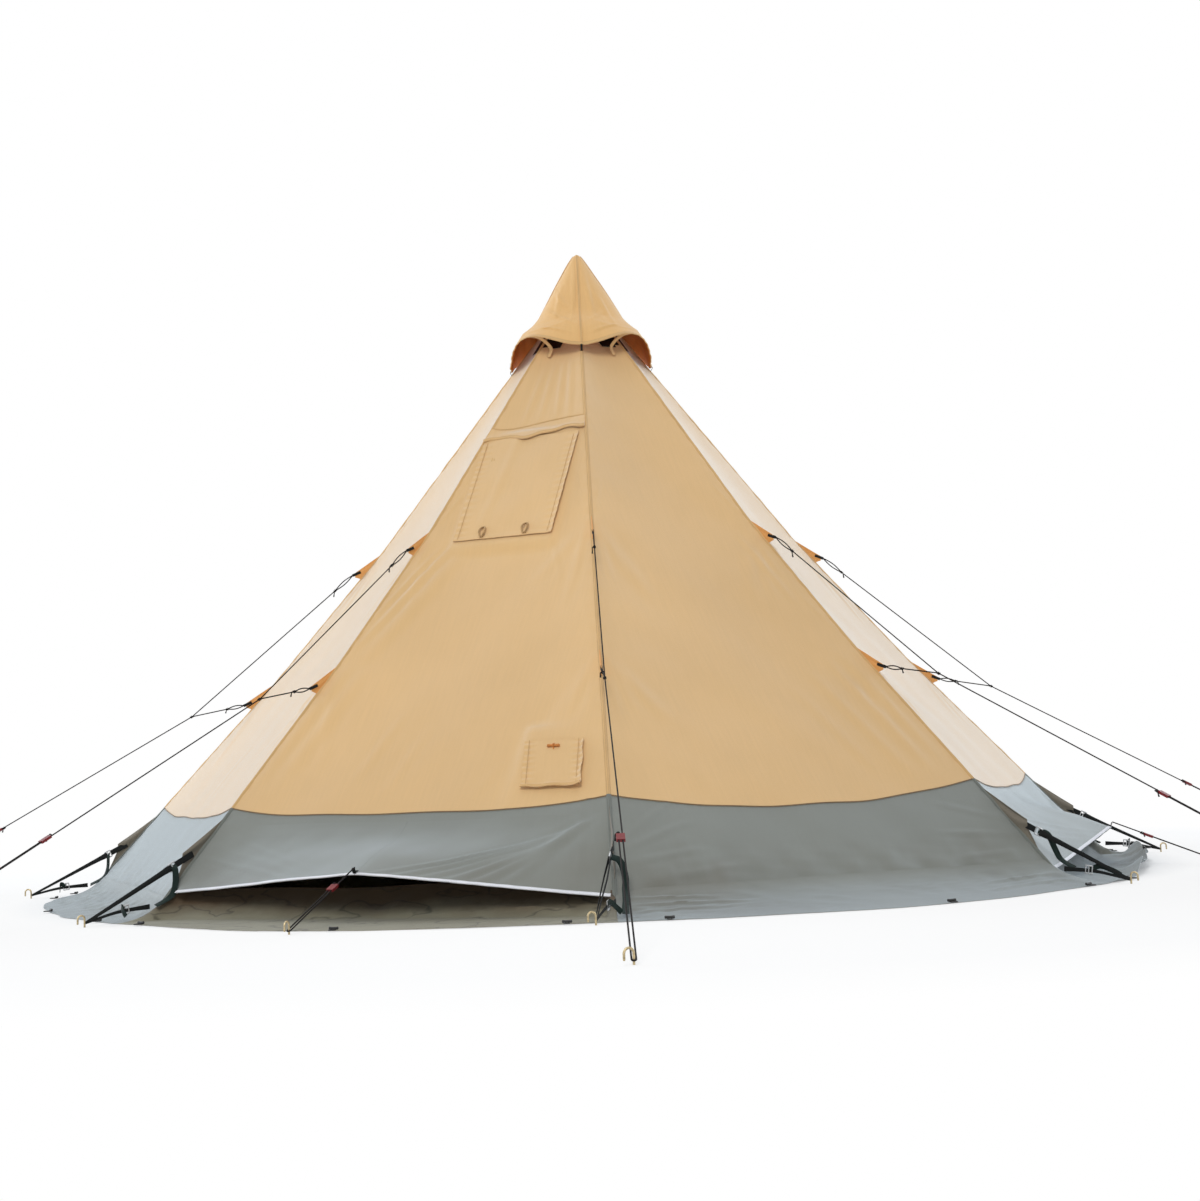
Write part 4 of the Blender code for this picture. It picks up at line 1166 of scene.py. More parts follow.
def corner_tape(corner, name, low_z, high_z, material, rows):
    """A flat-felled seam that folds over a corner."""
    height = np.linspace(low_z, high_z, rows)
    out, _ = axes_at(corner_angle(corner))
    _, before = axes_at(facet_angle(corner) - 2 * HALF)
    _, after = axes_at(facet_angle(corner))
    wave = waves(height * 0.0, run_at(height), 0.11, 90 + corner) * 0.0005
    slope = slope_of(height) / cos(HALF)
    level = 1 / np.sqrt(1 + slope ** 2)
    seam = seam_radius(height)[:, None] * out
    seam[:, 2] += height
    normal = level[:, None] * out
    normal[:, 2] += slope * level
    places = (-0.0105, -0.0095, -0.005, 0.0, 0.005, 0.0095, 0.0105)
    lifts = (0.0010, 0.0030, 0.0036, 0.0052, 0.0034, 0.0028, 0.0010)
    columns = []
    for place, lift in zip(places, lifts):
        direction = after if place > 0 else before
        off = lift + wave * (1.5 - abs(place) / 0.01)
        columns.append(seam + direction * place + normal * off[:, None])
    points = np.stack(columns, axis=1)
    uv = np.stack(np.broadcast_arrays(places, run_at(height)[:, None]), axis=-1)
    mesh = thicken(grid_mesh(f"{name}_{corner}", points, uv), 0.0016)
    return add(f"{name}_{corner}", mesh, material, "tent")


def wall_skin(facet):
    """The grey wall of a facet, down to the skirt, with its doorway or vent bay cut out."""
    share = shares(91)[None, :]
    top = band_height(facet, share) + 0.010
    height = WALL_FOOT_Z + (top - WALL_FOOT_Z) * np.linspace(0, 1, 41)[:, None]
    share = np.broadcast_to(share, height.shape)
    points = facet_surface(facet, share, height, WALL_OFF)
    mesh = grid_mesh(f"wall_skin_{facet}", points, facet_uv(share, height))
    if facet in VENT_FACETS:
        below = -0.05
        low_half = float(half_width(below)) - BAY_GAP
        cut_window(mesh, *window(facet, below, HINGE_Z, low_half, HINGE_HALF_W - BAY_GAP))
    if facet == DOOR_FACET:
        cut_window(mesh, *doorway())
    replaced = ["wall_band"] if facet == 1 else []
    cloth(f"wall_skin_{facet}", mesh, points, CANVAS_T, WALL, "tent", replaced)


# Vent bays


# Heights of the bay's cloth above the ground at its first and second corner
BAY_FEET = {8: (0.098, 0.066), 2: (0.052, 0.066)}
SHUT_FEET = (0.030, 0.030)
TIP_HALF_W = 0.020


def bay_points(facet, across, down, lift=0.0):
    """Cloth of a vent bay: across -1 to 1, down 0 at the fold to 1 at the free edge."""
    hinge, along, direction, normal = flap_frame(facet)
    across, down = np.broadcast_arrays(across, down)
    half = HINGE_HALF_W - BAY_GAP
    top = facet_surface(facet, across * half / HINGE_HALF_W, HINGE_Z, WALL_OFF)
    kink = 0.025
    edge_share = np.clip((np.abs(across) - kink) / (1 - kink), 0, 1)[..., None]
    side = np.sign(across)[..., None]
    foot_z = np.where(across < 0, *BAY_FEET.get(facet, SHUT_FEET))
    foot = facet_surface(facet, np.sign(across) * (1 - BAY_GAP / half_width(foot_z)), foot_z, 0.0)
    inner = np.clip(np.abs(across) / kink, 0, 1)[..., None] * TIP_HALF_W * side
    tip = np.array(hinge + direction * FLAP_L) + np.array(along) * inner
    bottom = tip + (foot - tip) * edge_share
    reach = bottom - top
    wall_way = facet_surface(facet, across * half / HINGE_HALF_W, 0.0, WALL_OFF) - top
    bend = (down * np.clip(1 - down / 0.7, 0, 1) ** 2)[..., None]
    points = top + reach * down[..., None] + (wall_way - reach) * bend
    u, v = across * half, -down * FLAP_L
    bulge = waves(u, v, 0.5, 111 + facet) * 0.003 + waves(u, v, 0.16, 121 + facet) * 0.0007
    chance = np.random.RandomState(130 + facet)
    for number in range(6):
        start = (half * (0.97 - 0.03 * number), -0.01 - 0.02 * number)
        end = (0.02 + 0.09 * number, -FLAP_L)
        bulge = bulge + fold(u, v, start, end, 0.010 + 0.003 * number, chance.uniform(0.005, 0.009))
    for number in range(3):
        start = (-half * 0.97, -0.02 - 0.09 * number)
        end = (-0.10 - 0.08 * number, -FLAP_L)
        bulge = bulge + fold(u, v, start, end, 0.014, chance.uniform(0.001, 0.003))
    calm = np.clip(down / 0.12, 0, 1) * np.clip((1 - np.abs(across)) / 0.06, 0, 1)
    return points + np.array(normal) * (bulge * calm + lift)[..., None]


def bay_bend(piece, facet, side):
    """Bakes the place of one half of a bay into its mesh; the edge and foot it works out are not used, so
    the half is not bent.
    """
    hinge, along, direction, _ = flap_frame(facet)
    _, _, rise, _ = plane_of(facet, 0.0, LOWER_TAB_Z)
    foot_z = 0.05
    top = hinge + along * side * (HINGE_HALF_W - POST_W)
    tip = hinge + along * side * TIP_HALF_W + direction * FLAP_L
    foot = hinge + rise * ((foot_z - HINGE_Z) / rise.z) + along * side * (float(half_width(foot_z)) - POST_W)
    edge = unit(tip - top)
    aside = foot - top
    aside = aside - edge * aside.dot(edge)
    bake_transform(piece)


def vent_bay(facet):
    """The two halves of a bay's cloth, the pale trim on their free edge, and its loop."""
    middle = 0.0005
    trim_w, trim_lift = 0.014, 0.0002
    for side, word in ((-1, "left"), (1, "right")):
        across = side * np.linspace(middle, 1, 61)[None, :]
        if side < 0:
            across = across[:, ::-1]
        across, down = np.broadcast_arrays(across, np.linspace(0, 1, 33)[:, None])
        points = bay_points(facet, across, down)[::-1]
        uv = np.stack([across * 0.8, -down * FLAP_L], axis=-1)[::-1]
        name = f"vent_cloth_{facet}_{word}"
        mesh = grid_mesh(name, points, uv)
        area = mesh_area(mesh)
        replaced = [f"vent_flap_{facet}"] if side < 0 else []
        made = add(name, thicken(mesh, CANVAS_T), WALL, None, replaced)
        bay_bend(made, facet, side)
        rim = side * np.linspace(middle, 1, 49)
        edge = bay_points(facet, rim, np.ones(49), trim_lift)
        rise = bay_points(facet, rim, np.full(49, 0.9), trim_lift) - edge
        rise = rise / np.linalg.norm(rise, axis=-1)[:, None]
        path = (edge + rise * 0.006).tolist()
        name = f"vent_trim_{facet}_{word}"
        trim = ribbon(name, path, rise.tolist(), trim_w, 0.0040, TRIM, None)
        bay_bend(trim, facet, side)
        declare_sheet(points, area)
    pull_loop(facet)


def pull_loop(facet):
    """A black webbing loop sewn to the middle of a flap's edge, for a line."""
    hinge, along, direction, normal = flap_frame(facet)
    foot = hinge + direction * (FLAP_L - PULL_TAB_T)
    path = points_from(foot, (direction, normal), (
        (-0.022, 0.0018),
        (-0.010, 0.0024),
        (-0.001, 0.010),
        (-0.002, PULL_TAB_H),
        (0.002, PULL_TAB_H - 0.004),
        (0.001, 0.006),
        (-0.002, 0.0005),
    ))
    body = f"vent_flap_{facet}"
    ribbon(f"vent_pull_loop_{facet}", smooth_path(path, 30), along, 0.013, WEBBING_T, WEBBING, body=body)


# Skirt


# Height of the cloth's upper face where it lies on the ground
LIE_Z = 0.0024
# Radius of the skirt's hem round the tent, at every corner and middle from corner 1 on
HEM_RADII = (2.70, 2.76, 2.68, 2.55, 2.58, 2.64, 2.64, 2.70, 2.66, 2.70, 2.64, 2.64, 2.60, 2.58, 2.63, 2.76)


def hem_radius(angle):
    place = np.mod(angle, 2 * pi) / HALF
    radii = np.array(HEM_RADII + HEM_RADII[:1])
    low = np.floor(place).astype(int)
    part = place - low
    part = part * part * (3 - 2 * part)
    return radii[low] * (1 - part) + radii[low + 1] * part


# Creases of the skirt that the photograph shows: across and down, start to end, width, height
SKIRT_FOLDS = {
    8: (
        (0.250, 0.150, 0.800, 0.190, 0.010, 0.0150),
        (0.450, 0.090, 0.940, 0.125, 0.009, 0.0120),
        (0.300, 0.240, 0.880, 0.290, 0.010, 0.0165),
        (0.600, 0.180, 0.960, 0.330, 0.010, 0.0150),
        (0.520, 0.340, 0.900, 0.250, 0.009, 0.0120),
        (0.000, 0.220, 0.420, 0.180, 0.012, 0.0120),
        (-0.600, 0.200, -0.100, 0.150, 0.014, 0.0105),
        (-0.850, 0.240, -0.350, 0.300, 0.014, 0.0105),
        (0.350, 0.060, 0.620, 0.260, 0.008, 0.0105),
    ),
    1: (
        (-0.930, 0.080, -0.560, 0.120, 0.014, 0.0060),
        (-0.940, 0.150, -0.420, 0.190, 0.014, 0.0066),
        (-0.920, 0.240, -0.500, 0.230, 0.014, 0.0060),
        (0.500, 0.200, 0.930, 0.140, 0.014, 0.0060),
        (0.400, 0.290, 0.940, 0.230, 0.014, 0.0060),
    ),
}


def skirt_points(facet, share, down):
    """The skirt: down 0 at its upper edge on the wall, 1 at its hem on the ground."""
    out, along = axes_at(facet_angle(facet))
    share, down = np.broadcast_arrays(share, down)
    u = share * half_width(0.0)
    edge = 1 - np.abs(share) ** 12
    inside = np.clip((0.985 - np.abs(share)) / 0.05, 0, 1) * (facet in VENT_FACETS)
    inside = inside * inside * (3 - 2 * inside)
    sill = SILL_Z - SKIRT_TOP_Z + 0.004 * waves(u, u * 0.0, 0.6, 141 + facet)
    set_back = 0.0016 - 0.054 * inside
    angle = share * HALF
    rim = hem_radius(facet_angle(facet) + angle) + 0.008 * waves(u, u * 0.0, 0.4, 171 + facet) * edge

    def section(radius, aside, height):
        made = radius[..., None] * out + aside[..., None] * along
        made[..., 2] += height
        return made

    def on_wall(height, off):
        radius = seam_radius(height)
        return section(radius * cos(HALF) + off, share * radius * sin(HALF), height)

    first = on_wall(SKIRT_TOP_Z + sill * inside, set_back)
    second = on_wall(0.006 - 0.100 * inside, 0.004 - 0.055 * inside)
    last = section(rim * np.cos(angle), rim * np.sin(angle), LIE_Z)
    s = down[..., None]
    points = first * (1 - s) ** 2 + second * 2 * s * (1 - s) + last * s ** 2
    bunched = np.clip((2.70 - rim) / 0.12, 0, 1)
    v = down * 0.40
    coarse = 1 - np.abs(waves(u * 0.7, v, 0.16, 151 + facet))
    fine = 1 - np.abs(waves(u, v * 1.3, 0.075, 161 + facet))
    low = np.sin(pi * np.clip(down * 0.92, 0, 1)) ** 1.3
    rough = 0.75 + 0.4 * inside + (0.5 * bunched if facet == 2 else 0.0)
    if facet == 1:
        rough = 0.25 + 0.40 * np.exp(-((share + 1) / 0.3) ** 2) + 0.25 * np.exp(-((share - 1) / 0.25) ** 2)
    calm = 1 - inside * 0.85 * np.exp(-((down - 0.38) / 0.11) ** 2)
    bend = (coarse * 0.008 + fine * 0.0034) * rough * low * edge
    for u0, v0, u1, v1, width, height in SKIRT_FOLDS.get(facet, ()):
        bend = bend + fold(u, v, (u0, v0), (u1, v1), width, height) * edge * np.clip(down * 6, 0, 1)
    bend = bend * calm
    points = points + out * (bend * 0.35)[..., None]
    if facet == 2:
        bend = bend + bunched * 0.050 * down ** 2.5 * (1 + 0.4 * np.sin(u * 11)) * edge
    points[..., 2] += bend
    points[..., 2] = np.maximum(points[..., 2], LIE_Z)
    return points


def skirt():
    """The snow skirt all round, crumpled where it meets the ground, with its toggles."""
    share, down = np.broadcast_arrays(np.linspace(-1, 1, 121)[None, :], np.linspace(0, 1, 37)[:, None])
    uv = np.stack([share * 0.95, -down * 0.45], axis=-1)[::-1]
    for facet in range(1, SIDES + 1):
        points = skirt_points(facet, share, down)[::-1]
        name = "snow_skirt_cloth" if facet == 1 else f"snow_skirt_cloth_{facet}"
        # Facet 8's skirt takes the copy with painted shadow
        material = SILL_CLOTH_SHADOWED if facet == 8 else SKIRT
        replaced = ["snow_skirt"] if facet == 1 else []
        cloth(name, grid_mesh(name, points, uv), points, CANVAS_T, material, "tent", replaced)
        for number, place in enumerate((-0.84, 0.10, 0.84)):
            skirt_toggle(f"skirt_toggle_{facet}_{number}", facet, place)


def skirt_toggle(name, facet, share):
    """A peg-down loop of black elastic with a barrel toggle, at the skirt's hem."""
    hem = Vector(skirt_points(facet, np.array([share]), np.array([0.985]))[0].tolist())
    out, along = (Vector(axis) for axis in axes_at(facet_angle(facet) + share * HALF))
    loop = points_from(hem, (out, along, UP), (
        (0.0, -0.006, 0.004),
        (0.020, -0.009, 0.004),
        (0.034, 0.0, 0.004),
        (0.020, 0.009, 0.004),
        (0.0, 0.006, 0.004),
    ))
    middle = hem + out * 0.004 + UP * 0.0085
    barrel = [middle + along * x for x in (-0.017, -0.0155, -0.006, 0.006, 0.0155, 0.017)]
    meshes = [
        tube_mesh(name, smooth_path(loop, 21), 0.0022, 8),
        tube_mesh(name, barrel, [0.0036, 0.0052, 0.0044, 0.0044, 0.0052, 0.0036], 12),
    ]
    add(name, joined(name, meshes), PLASTIC, "tent")


# Rain cap


CAP_TIP_Z = 3.1195
CAP_KNOTS = ((0.0, CAP_TIP_Z), (0.022, 3.107), (0.124, 2.9375), (0.226, 2.755), (0.318, 2.672))
CAP_STEPS = (0.0, 0.035, 0.33, 0.66, 0.83, 1.0)
CAP_CORNER = (0.352, 2.524)
CAP_FRONT_RISE = 0.036
CAP_ARCH = (0.385, 2.618)
CAP_HEM = 0.018

# Folds of the cap either side of a tied seam: across and down from start to end, width, height
CAP_FOLDS = (
    (-0.020, 0.500, -0.200, 0.330, 0.012, 0.0085),
    (-0.030, 0.400, -0.150, 0.200, 0.016, 0.0076),
    (-0.030, 0.545, -0.250, 0.480, 0.009, 0.0076),
    (-0.014, 0.100, -0.045, 0.480, 0.014, 0.0076),
    (-0.090, 0.200, -0.120, 0.430, 0.018, 0.0068),
    (0.026, 0.120, 0.075, 0.460, 0.018, 0.0076),
    (0.030, 0.545, 0.240, 0.470, 0.010, 0.0068),
    (0.100, 0.260, 0.190, 0.500, 0.018, 0.0068),
    (0.020, 0.480, 0.150, 0.360, 0.012, 0.0051),
)


def cap_point(angle, share):
    """Radius and height of the rain cap's outer face: share 0 at the tip, 1 at the rim."""
    arch = sin(2 * angle) ** 2
    lift = CAP_FRONT_RISE * max(0.0, cos(angle)) ** 6
    rim_r = CAP_CORNER[0] + (CAP_ARCH[0] - CAP_CORNER[0]) * arch
    rim_z = CAP_CORNER[1] + (CAP_ARCH[1] - CAP_CORNER[1]) * arch + lift
    radii, heights = zip(*CAP_KNOTS, (rim_r, rim_z))
    near = np.clip(share, 0, 1) + np.linspace(-0.05, 0.05, 5) * min(1.0, share * 12, (1 - share) * 12)
    radius = float(np.mean(np.interp(near, CAP_STEPS, radii)))
    height = float(np.mean(np.interp(near, CAP_STEPS, heights)))
    seam = abs((angle / (pi / 2) + 0.5) % 1 - 0.5) * pi / 2 * radius
    ridge = 0.0026 * max(0.0, 1 - seam / 0.007) - 0.0016 * np.exp(-((seam - 0.011) / 0.004) ** 2)
    gather = 0.0035 * sin(angle * 23 + 3 * share) * np.exp(-(seam / 0.10) ** 2) * share ** 4
    soft = 0.0050 * sin(3 * angle + 1.0 + 4 * share) * share * (1 - share) * 4
    slant = abs(sin(2 * angle))
    crease = 0.0050 * np.exp(-((share - 0.70 - 0.15 * slant) / 0.022) ** 2) * slant ** 0.5
    second = (share - 0.60 - 0.12 * slant + 0.05 * sin(angle)) / 0.030
    crease = crease - 0.0035 * np.exp(-second ** 2) * slant
    place = ((angle + pi / 2) % pi - pi / 2) * radius, share * 0.60
    folds = sum(float(fold(*place, line[0:2], line[2:4], *line[4:])) for line in CAP_FOLDS)
    hem = 0.0014 * sin(angle * 55) * share ** 14
    return radius + (ridge + gather + soft + crease + folds + hem) * min(1.0, share * 8), height


def cap_place(angle, share, lift=0.0):
    """A point of the rain cap's outer face, lifted off it."""
    radius, height = cap_point(angle, share)
    return Vector(((radius + lift) * sin(angle), -(radius + lift) * cos(angle), height))


def rain_cap():
    """The bell-shaped cap and its hem, with four seams, four ties and four vent stays."""
    columns, rows = 193, 64
    angles = [2 * pi * i / (columns - 1) for i in range(columns)]
    points = np.zeros((rows, columns, 3))
    uv = np.zeros((rows, columns, 2))
    for i, angle in enumerate(angles):
        for j in range(rows):
            share = (j / (rows - 1)) ** 0.9
            radius, height = cap_point(angle % (2 * pi), share)
            points[j, i] = (radius * sin(angle), -radius * cos(angle), height)
            uv[j, i] = (angle * 0.3, share * 0.7)
    mesh = grid_mesh("rain_cap_cloth", points[::-1], uv[::-1], weld=True)
    area = mesh_area(mesh)
    made = add("rain_cap_cloth", thicken(mesh, 0.0022, lining=True), None, "tent", ["rain_cap"])
    declare_sheet(points[1:], area)
    band = []
    inward = []
    for angle in angles:
        rim = cap_place(angle, 1.0)
        inward.append(unit(cap_place(angle, 1.0 - CAP_HEM * 2.2) - rim))
        band.append(rim + inward[-1] * CAP_HEM * 0.42 + Vector((rim.x, rim.y, 0.0)).normalized() * 0.0006)
    ribbon("cap_hem", band, inward, CAP_HEM, 0.0048, HEM)
    for number in range(4):
        cap_seam(number)
        cap_tie(number)
        cap_stay(number)


def cap_seam(number):
    """A felled seam down the cap."""
    angle = number * pi / 2
    path = [cap_place(angle, 0.03 + 0.95 * i / 39, 0.0002) for i in range(40)]
    _, along = axes_at(angle)
    ribbon(f"cap_seam_{number + 1}", path, along, 0.011, 0.0024, CANVAS_TAPE)


def cap_tie(number):
    """A short dark tie between the cap's corner and the canvas seam."""
    corner = 2 * number + 1
    radius, height = cap_point(number * pi / 2, 1.0)
    seam_r = float(seam_radius(height - 0.020))
    path = [
        at_corner(corner, radius - 0.004, height + 0.006),
        at_corner(corner, radius + 0.004, height - 0.004),
        at_corner(corner, (radius + seam_r) / 2 + 0.004, height - 0.014),
        at_corner(corner, seam_r + 0.004, height - 0.026),
    ]
    _, along = axes_at(corner_angle(corner))
    ribbon(f"cap_tie_{corner}", smooth_path(path, 14), along, 0.010, 0.0018, WEBBING)


# Side of each arch's seam on which its stay is sewn
STAY_SIDES = {2: -1, 4: 1, 6: -1, 8: 1}


def seam_side(corner, side, distance, height, lift=0.0):
    """A point of the canvas beside a corner seam, a distance away on one side."""
    radius = float(seam_radius(height)) - distance * sin(HALF) + lift
    return at_corner(corner, radius, height, side * distance * cos(HALF))


def cap_stay(number):
    """The curved stay that holds an arch of the cap off the canvas, and the net behind them."""
    corner = 2 * number + 2
    angle = corner_angle(corner)
    _, along = (Vector(axis) for axis in axes_at(angle))
    side = STAY_SIDES[corner]
    rim_angle = angle + side * 0.020
    radius, height = cap_point(rim_angle, 0.96)
    start = Vector(axes_at(rim_angle)[0]) * (radius - 0.012) + UP * (height + 0.002)
    foot = seam_side(corner, side, 0.082, 2.525, 0.003)
    above = seam_side(corner, side, 0.084, 2.572, 0.026)
    bend = start.lerp(above, 0.55) + UP * 0.018
    path = smooth_path([start, bend, above, foot], 24)
    ribbon(f"cap_stay_{corner}", path, along, 0.022, 0.0024, HEM)
    margin = 0.012
    net = []
    for height in np.linspace(NET_LOW_Z - margin, TOP_VENT_HIGH_Z + margin, 9):
        row = []
        for aside in np.linspace(-TOP_VENT_HALF_W - margin, TOP_VENT_HALF_W + margin, 11):
            reach = float(seam_radius(height)) - abs(aside) * sin(HALF) / cos(HALF) - 0.006
            row.append(at_corner(corner, reach, float(height), float(aside)))
        net.append(row)
    points = np.array(net)
    name = f"top_vent_net_{corner}"
    add(name, thicken(grid_mesh(name, points, points[..., [0, 2]]), 0.0012), NET, "tent")


# Hatches


def flap_piece(name, frame_of, size, body, lift_at, rows, columns):
    """A hatch flap with a turned hem: lift_at gives how far it stands off at shares across and up."""
    low, along, rise, normal = (np.array(vector) for vector in frame_of)
    across, up = np.broadcast_arrays(np.linspace(-1, 1, columns)[None, :], np.linspace(0, 1, rows)[:, None])
    lift = lift_at(across, up)
    hem = 0.0009 * ((np.abs(across) > 0.93) | (up < 0.035))
    u, v = across * size[0] / 2, up * size[1]
    loose = 0.0026 if size[0] < PIPE_FLAP_W else 0.0007
    stand = 0.0045
    u = u + loose * np.sin(v * 52 + across) * across ** 6
    v = v + loose * np.sin(u * 46 + 1.0) * (1 - up) ** 5
    wobble = 0.0015 * waves(u, v, 0.3, 181 + columns) * (1 - np.abs(across) ** 6)
    points = low + u[..., None] * along + v[..., None] * rise
    points = points + (lift + hem + wobble + stand)[..., None] * normal
    mesh = grid_mesh(name, points, np.stack([u, v], axis=-1))
    cloth(name, mesh, points, FLAP_T, CANVAS, body, [body])


def stitch_line(name, path, across, body, width=0.003):
    """A row of stitches, as a narrow raised line."""
    ribbon(name, path, across, width, 0.0014, CANVAS_TAPE, body)


def rope_loop(name, foot, along, rise, normal, body):
    """A tan rope loop that stands off the cloth and is sewn down at its foot."""
    height, width = 0.058, 0.026
    path = []
    for i in range(33):
        angle = -pi / 2 + 0.12 + (2 * pi - 0.24) * i / 32
        reach = height / 2 * (1 + sin(angle))
        stand = 0.004 + 0.010 * sin(pi * reach / height)
        path.append(foot + along * width / 2 * cos(angle) + rise * reach + normal * stand)
    add(name, tube_mesh(name, path, 0.0042, 10), TAN_WEBBING, body)


def toggle_loop(name, foot, along, rise, normal):
    """A tan webbing loop with a small toggle through it."""
    height = 0.045
    path = points_from(foot, (rise * height, normal, along), (
        (0.0, 0.0020, 0.0),
        (0.45, 0.0075, -0.0010),
        (0.95, 0.0060, 0.0),
        (1.02, 0.0025, 0.0),
        (0.60, 0.0018, 0.0010),
        (0.05, 0.0012, 0.0),
    ))
    middle = foot + rise * height * 0.55 + normal * 0.0060
    bar = [middle + rise * x for x in (-0.013, -0.011, 0.0, 0.011, 0.013)]
    meshes = [
        ribbon_mesh(name, smooth_path(path, 26), along, 0.011, WEBBING_T),
        tube_mesh(name, bar, [0.0018, 0.0032, 0.0028, 0.0032, 0.0018], 10),
    ]
    add(name, joined(name, meshes), TAN_WEBBING, "tent")


def pipe_hatch():
    """The pipe hatch: its flap, the stitches down its sides and the loops on its lower edge."""
    body = "pipe_hatch_flap"
    low, along, rise, normal = plane_of(HATCH_FACET, PIPE_FLAP_LOW_Z, PIPE_FLAP_TOP_Z)
    low = low + along * PIPE_FLAP_SHIFT
    tall = pipe_flap_height()
    half = PIPE_FLAP_W / 2

    def lift_at(across, up):
        right_edge = 0.006 * np.clip((across - 0.86) / 0.14, 0, 1) ** 2 * (1 - up * 0.5)
        near_side = np.clip((np.abs(across) - 0.70) / 0.25, 0, 1)
        pucker = 0.0016 * np.sin(up * 2 * pi * 17 + 2 * np.sin(up * 9)) * near_side
        fold_line = 0.003 * np.exp(-((across + 0.55 - up * 0.3) / 0.10) ** 2) * np.clip(up * 3, 0, 1)
        return right_edge + pucker + fold_line

    flap_piece("pipe_flap_cloth", (low, along, rise, normal), (PIPE_FLAP_W, tall), body, lift_at, 81, 61)
    for side, word in ((-1, "left"), (1, "right")):
        path = []
        for t in np.linspace(0.01, 0.97, 50):
            stand = 0.0068 + 0.0008 * sin(t * 90)
            path.append(low + along * side * (half - 0.022) + rise * tall * t + normal * stand)
        stitch_line(f"pipe_flap_tape_{word}", path, along, body)
    for number, place in enumerate((-0.100, 0.108)):
        foot = low + along * place + rise * 0.008 + normal * 0.005
        rope_loop(f"pipe_flap_toggle_{number + 1}", foot, along, rise, normal, body)
    ring_tape("pipe_hole_hem", *pipe_hole())
    pipe_hood(rise)


def pipe_hood(rise):
    """The rain hood over the top of the pipe hatch, its stitches and its wavy hem."""
    share = np.linspace(-1, 1, 71)
    top_z = PIPE_FLAP_TOP_Z + 0.084 + 0.010 * share + 0.010 * np.sin(share * 2.4 + 0.6) * (1 - share ** 8)
    wave = 0.015 * np.sin(share * 4.4 - 1.1) + 0.005 * np.sin(share * 11.0)
    low_z = PIPE_FLAP_TOP_Z + 0.002 + 0.014 * share + wave * (1 - share ** 6)
    up = np.linspace(0, 1, 12)[:, None]
    height = low_z + (top_z - low_z) * up
    stand = (0.011 + 0.008 * np.cos(share * 5.2 + 0.6) * (1 - share ** 4)) * (1 - up) ** 1.4 + 0.0030
    stand = np.maximum(stand, 0.0105 * (1 - up))
    share = np.broadcast_to(share, height.shape)
    inset = share * 0.985
    points = facet_surface(HATCH_FACET, inset, height, stand)
    mesh = grid_mesh("pipe_hood", points, facet_uv(share, height))
    cloth("pipe_hood", mesh, points, 0.0030, CANVAS, "tent", ())
    sewn = facet_surface(HATCH_FACET, inset[0], top_z - 0.004, 0.0044)
    stitch_line("pipe_hood_stitching", sewn.tolist(), rise, "tent", 0.006)
    hem_line = facet_surface(HATCH_FACET, inset[0], low_z + 0.008, stand[1] + 0.0004)
    ribbon("pipe_hood_hem", hem_line.tolist(), rise, 0.017, 0.0036, HEM)


def ring_tape(name, corners, normal, width=0.018):
    """A hem of tape round a window."""
    meshes = []
    for a, b in zip(corners, corners[1:] + corners[:1]):
        run = unit(b - a)
        aside = unit(Vector(normal).cross(run))
        path = [a.lerp(b, t) + Vector(normal) * 0.0010 for t in np.linspace(0, 1, 12)]
        path[0] = path[0] - run * width / 2
        path[-1] = path[-1] + run * width / 2
        meshes.append(ribbon_mesh(name, path, aside, width, 0.0032))
    add(name, joined(name, meshes), HEM, "tent")


def small_hatch():
    """The small hatch: it hangs from its top edge, and its lower and right edges are loose."""
    body = "small_hatch_flap"
    wide, tall = SMALL_FLAP
    low, along, rise, normal = plane_of(HATCH_FACET, SMALL_FLAP_LOW_Z, LOWER_TAB_Z)
    low = low + along * (SMALL_FLAP_SHIFT + SMALL_HATCH_MOVE + SMALL_HATCH_LEAN * tall)
    rise = rise - along * SMALL_HATCH_LEAN
    half = wide / 2

    def lift_at(across, up):
        loose = np.clip((across + 1) / 2, 0, 1) * np.clip(1 - up, 0, 1)
        right_edge = 0.007 * np.clip((across - 0.75) / 0.25, 0, 1) ** 2
        bottom = 0.008 * np.clip((0.16 - up) / 0.16, 0, 1) ** 2
        wave = 0.0022 * np.sin(across * 7 + 1.2) * np.clip(1 - up * 3, 0, 1)
        pucker = 0.0018 * np.sin(up * 2 * pi * 8) * np.clip((np.abs(across) - 0.55) / 0.3, 0, 1)
        return 0.004 * loose + right_edge + bottom + wave + pucker

    flap_piece("small_flap_cloth", (low, along, rise, normal), (wide, tall - 0.006), body, lift_at, 45, 45)
    for side, word in ((-1, "left"), (1, "right")):
        line = low + along * side * (half - 0.020)
        path = [line + rise * tall * t + normal * 0.0095 for t in np.linspace(0.06, 0.98, 24)]
        stitch_line(f"small_flap_tape_{word}", path, along, body)
    bottom = []
    for t in np.linspace(-1, 1, 30):
        stand = float(lift_at(np.array(t), np.array(0.03)))
        bottom.append(low + along * half * float(t) + rise * 0.006 + normal * (stand + 0.0052))
    ribbon("small_flap_hem", bottom, rise, 0.012, 0.0050, HEM, body)
    name = "small_flap_toggle"
    middle = low + rise * tall + normal * 0.0112 - rise * 0.038
    bar = [middle + along * x for x in (-0.026, -0.023, -0.008, 0.008, 0.023, 0.026)]
    rows = ((0.014, -0.006), (0.007, 0.002), (0.0, 0.0065), (-0.008, 0.002), (-0.013, -0.006))
    meshes = [
        tube_mesh(name, bar, [0.003, 0.0062, 0.0052, 0.0052, 0.0062, 0.003], 12),
        tube_mesh(name, smooth_path(points_from(middle, (rise, normal), rows), 16), 0.0024, 8),
    ]
    add(name, joined(name, meshes), TOGGLE, body)
    ring_tape("small_hole_hem", *small_hole(), 0.014)


# Door


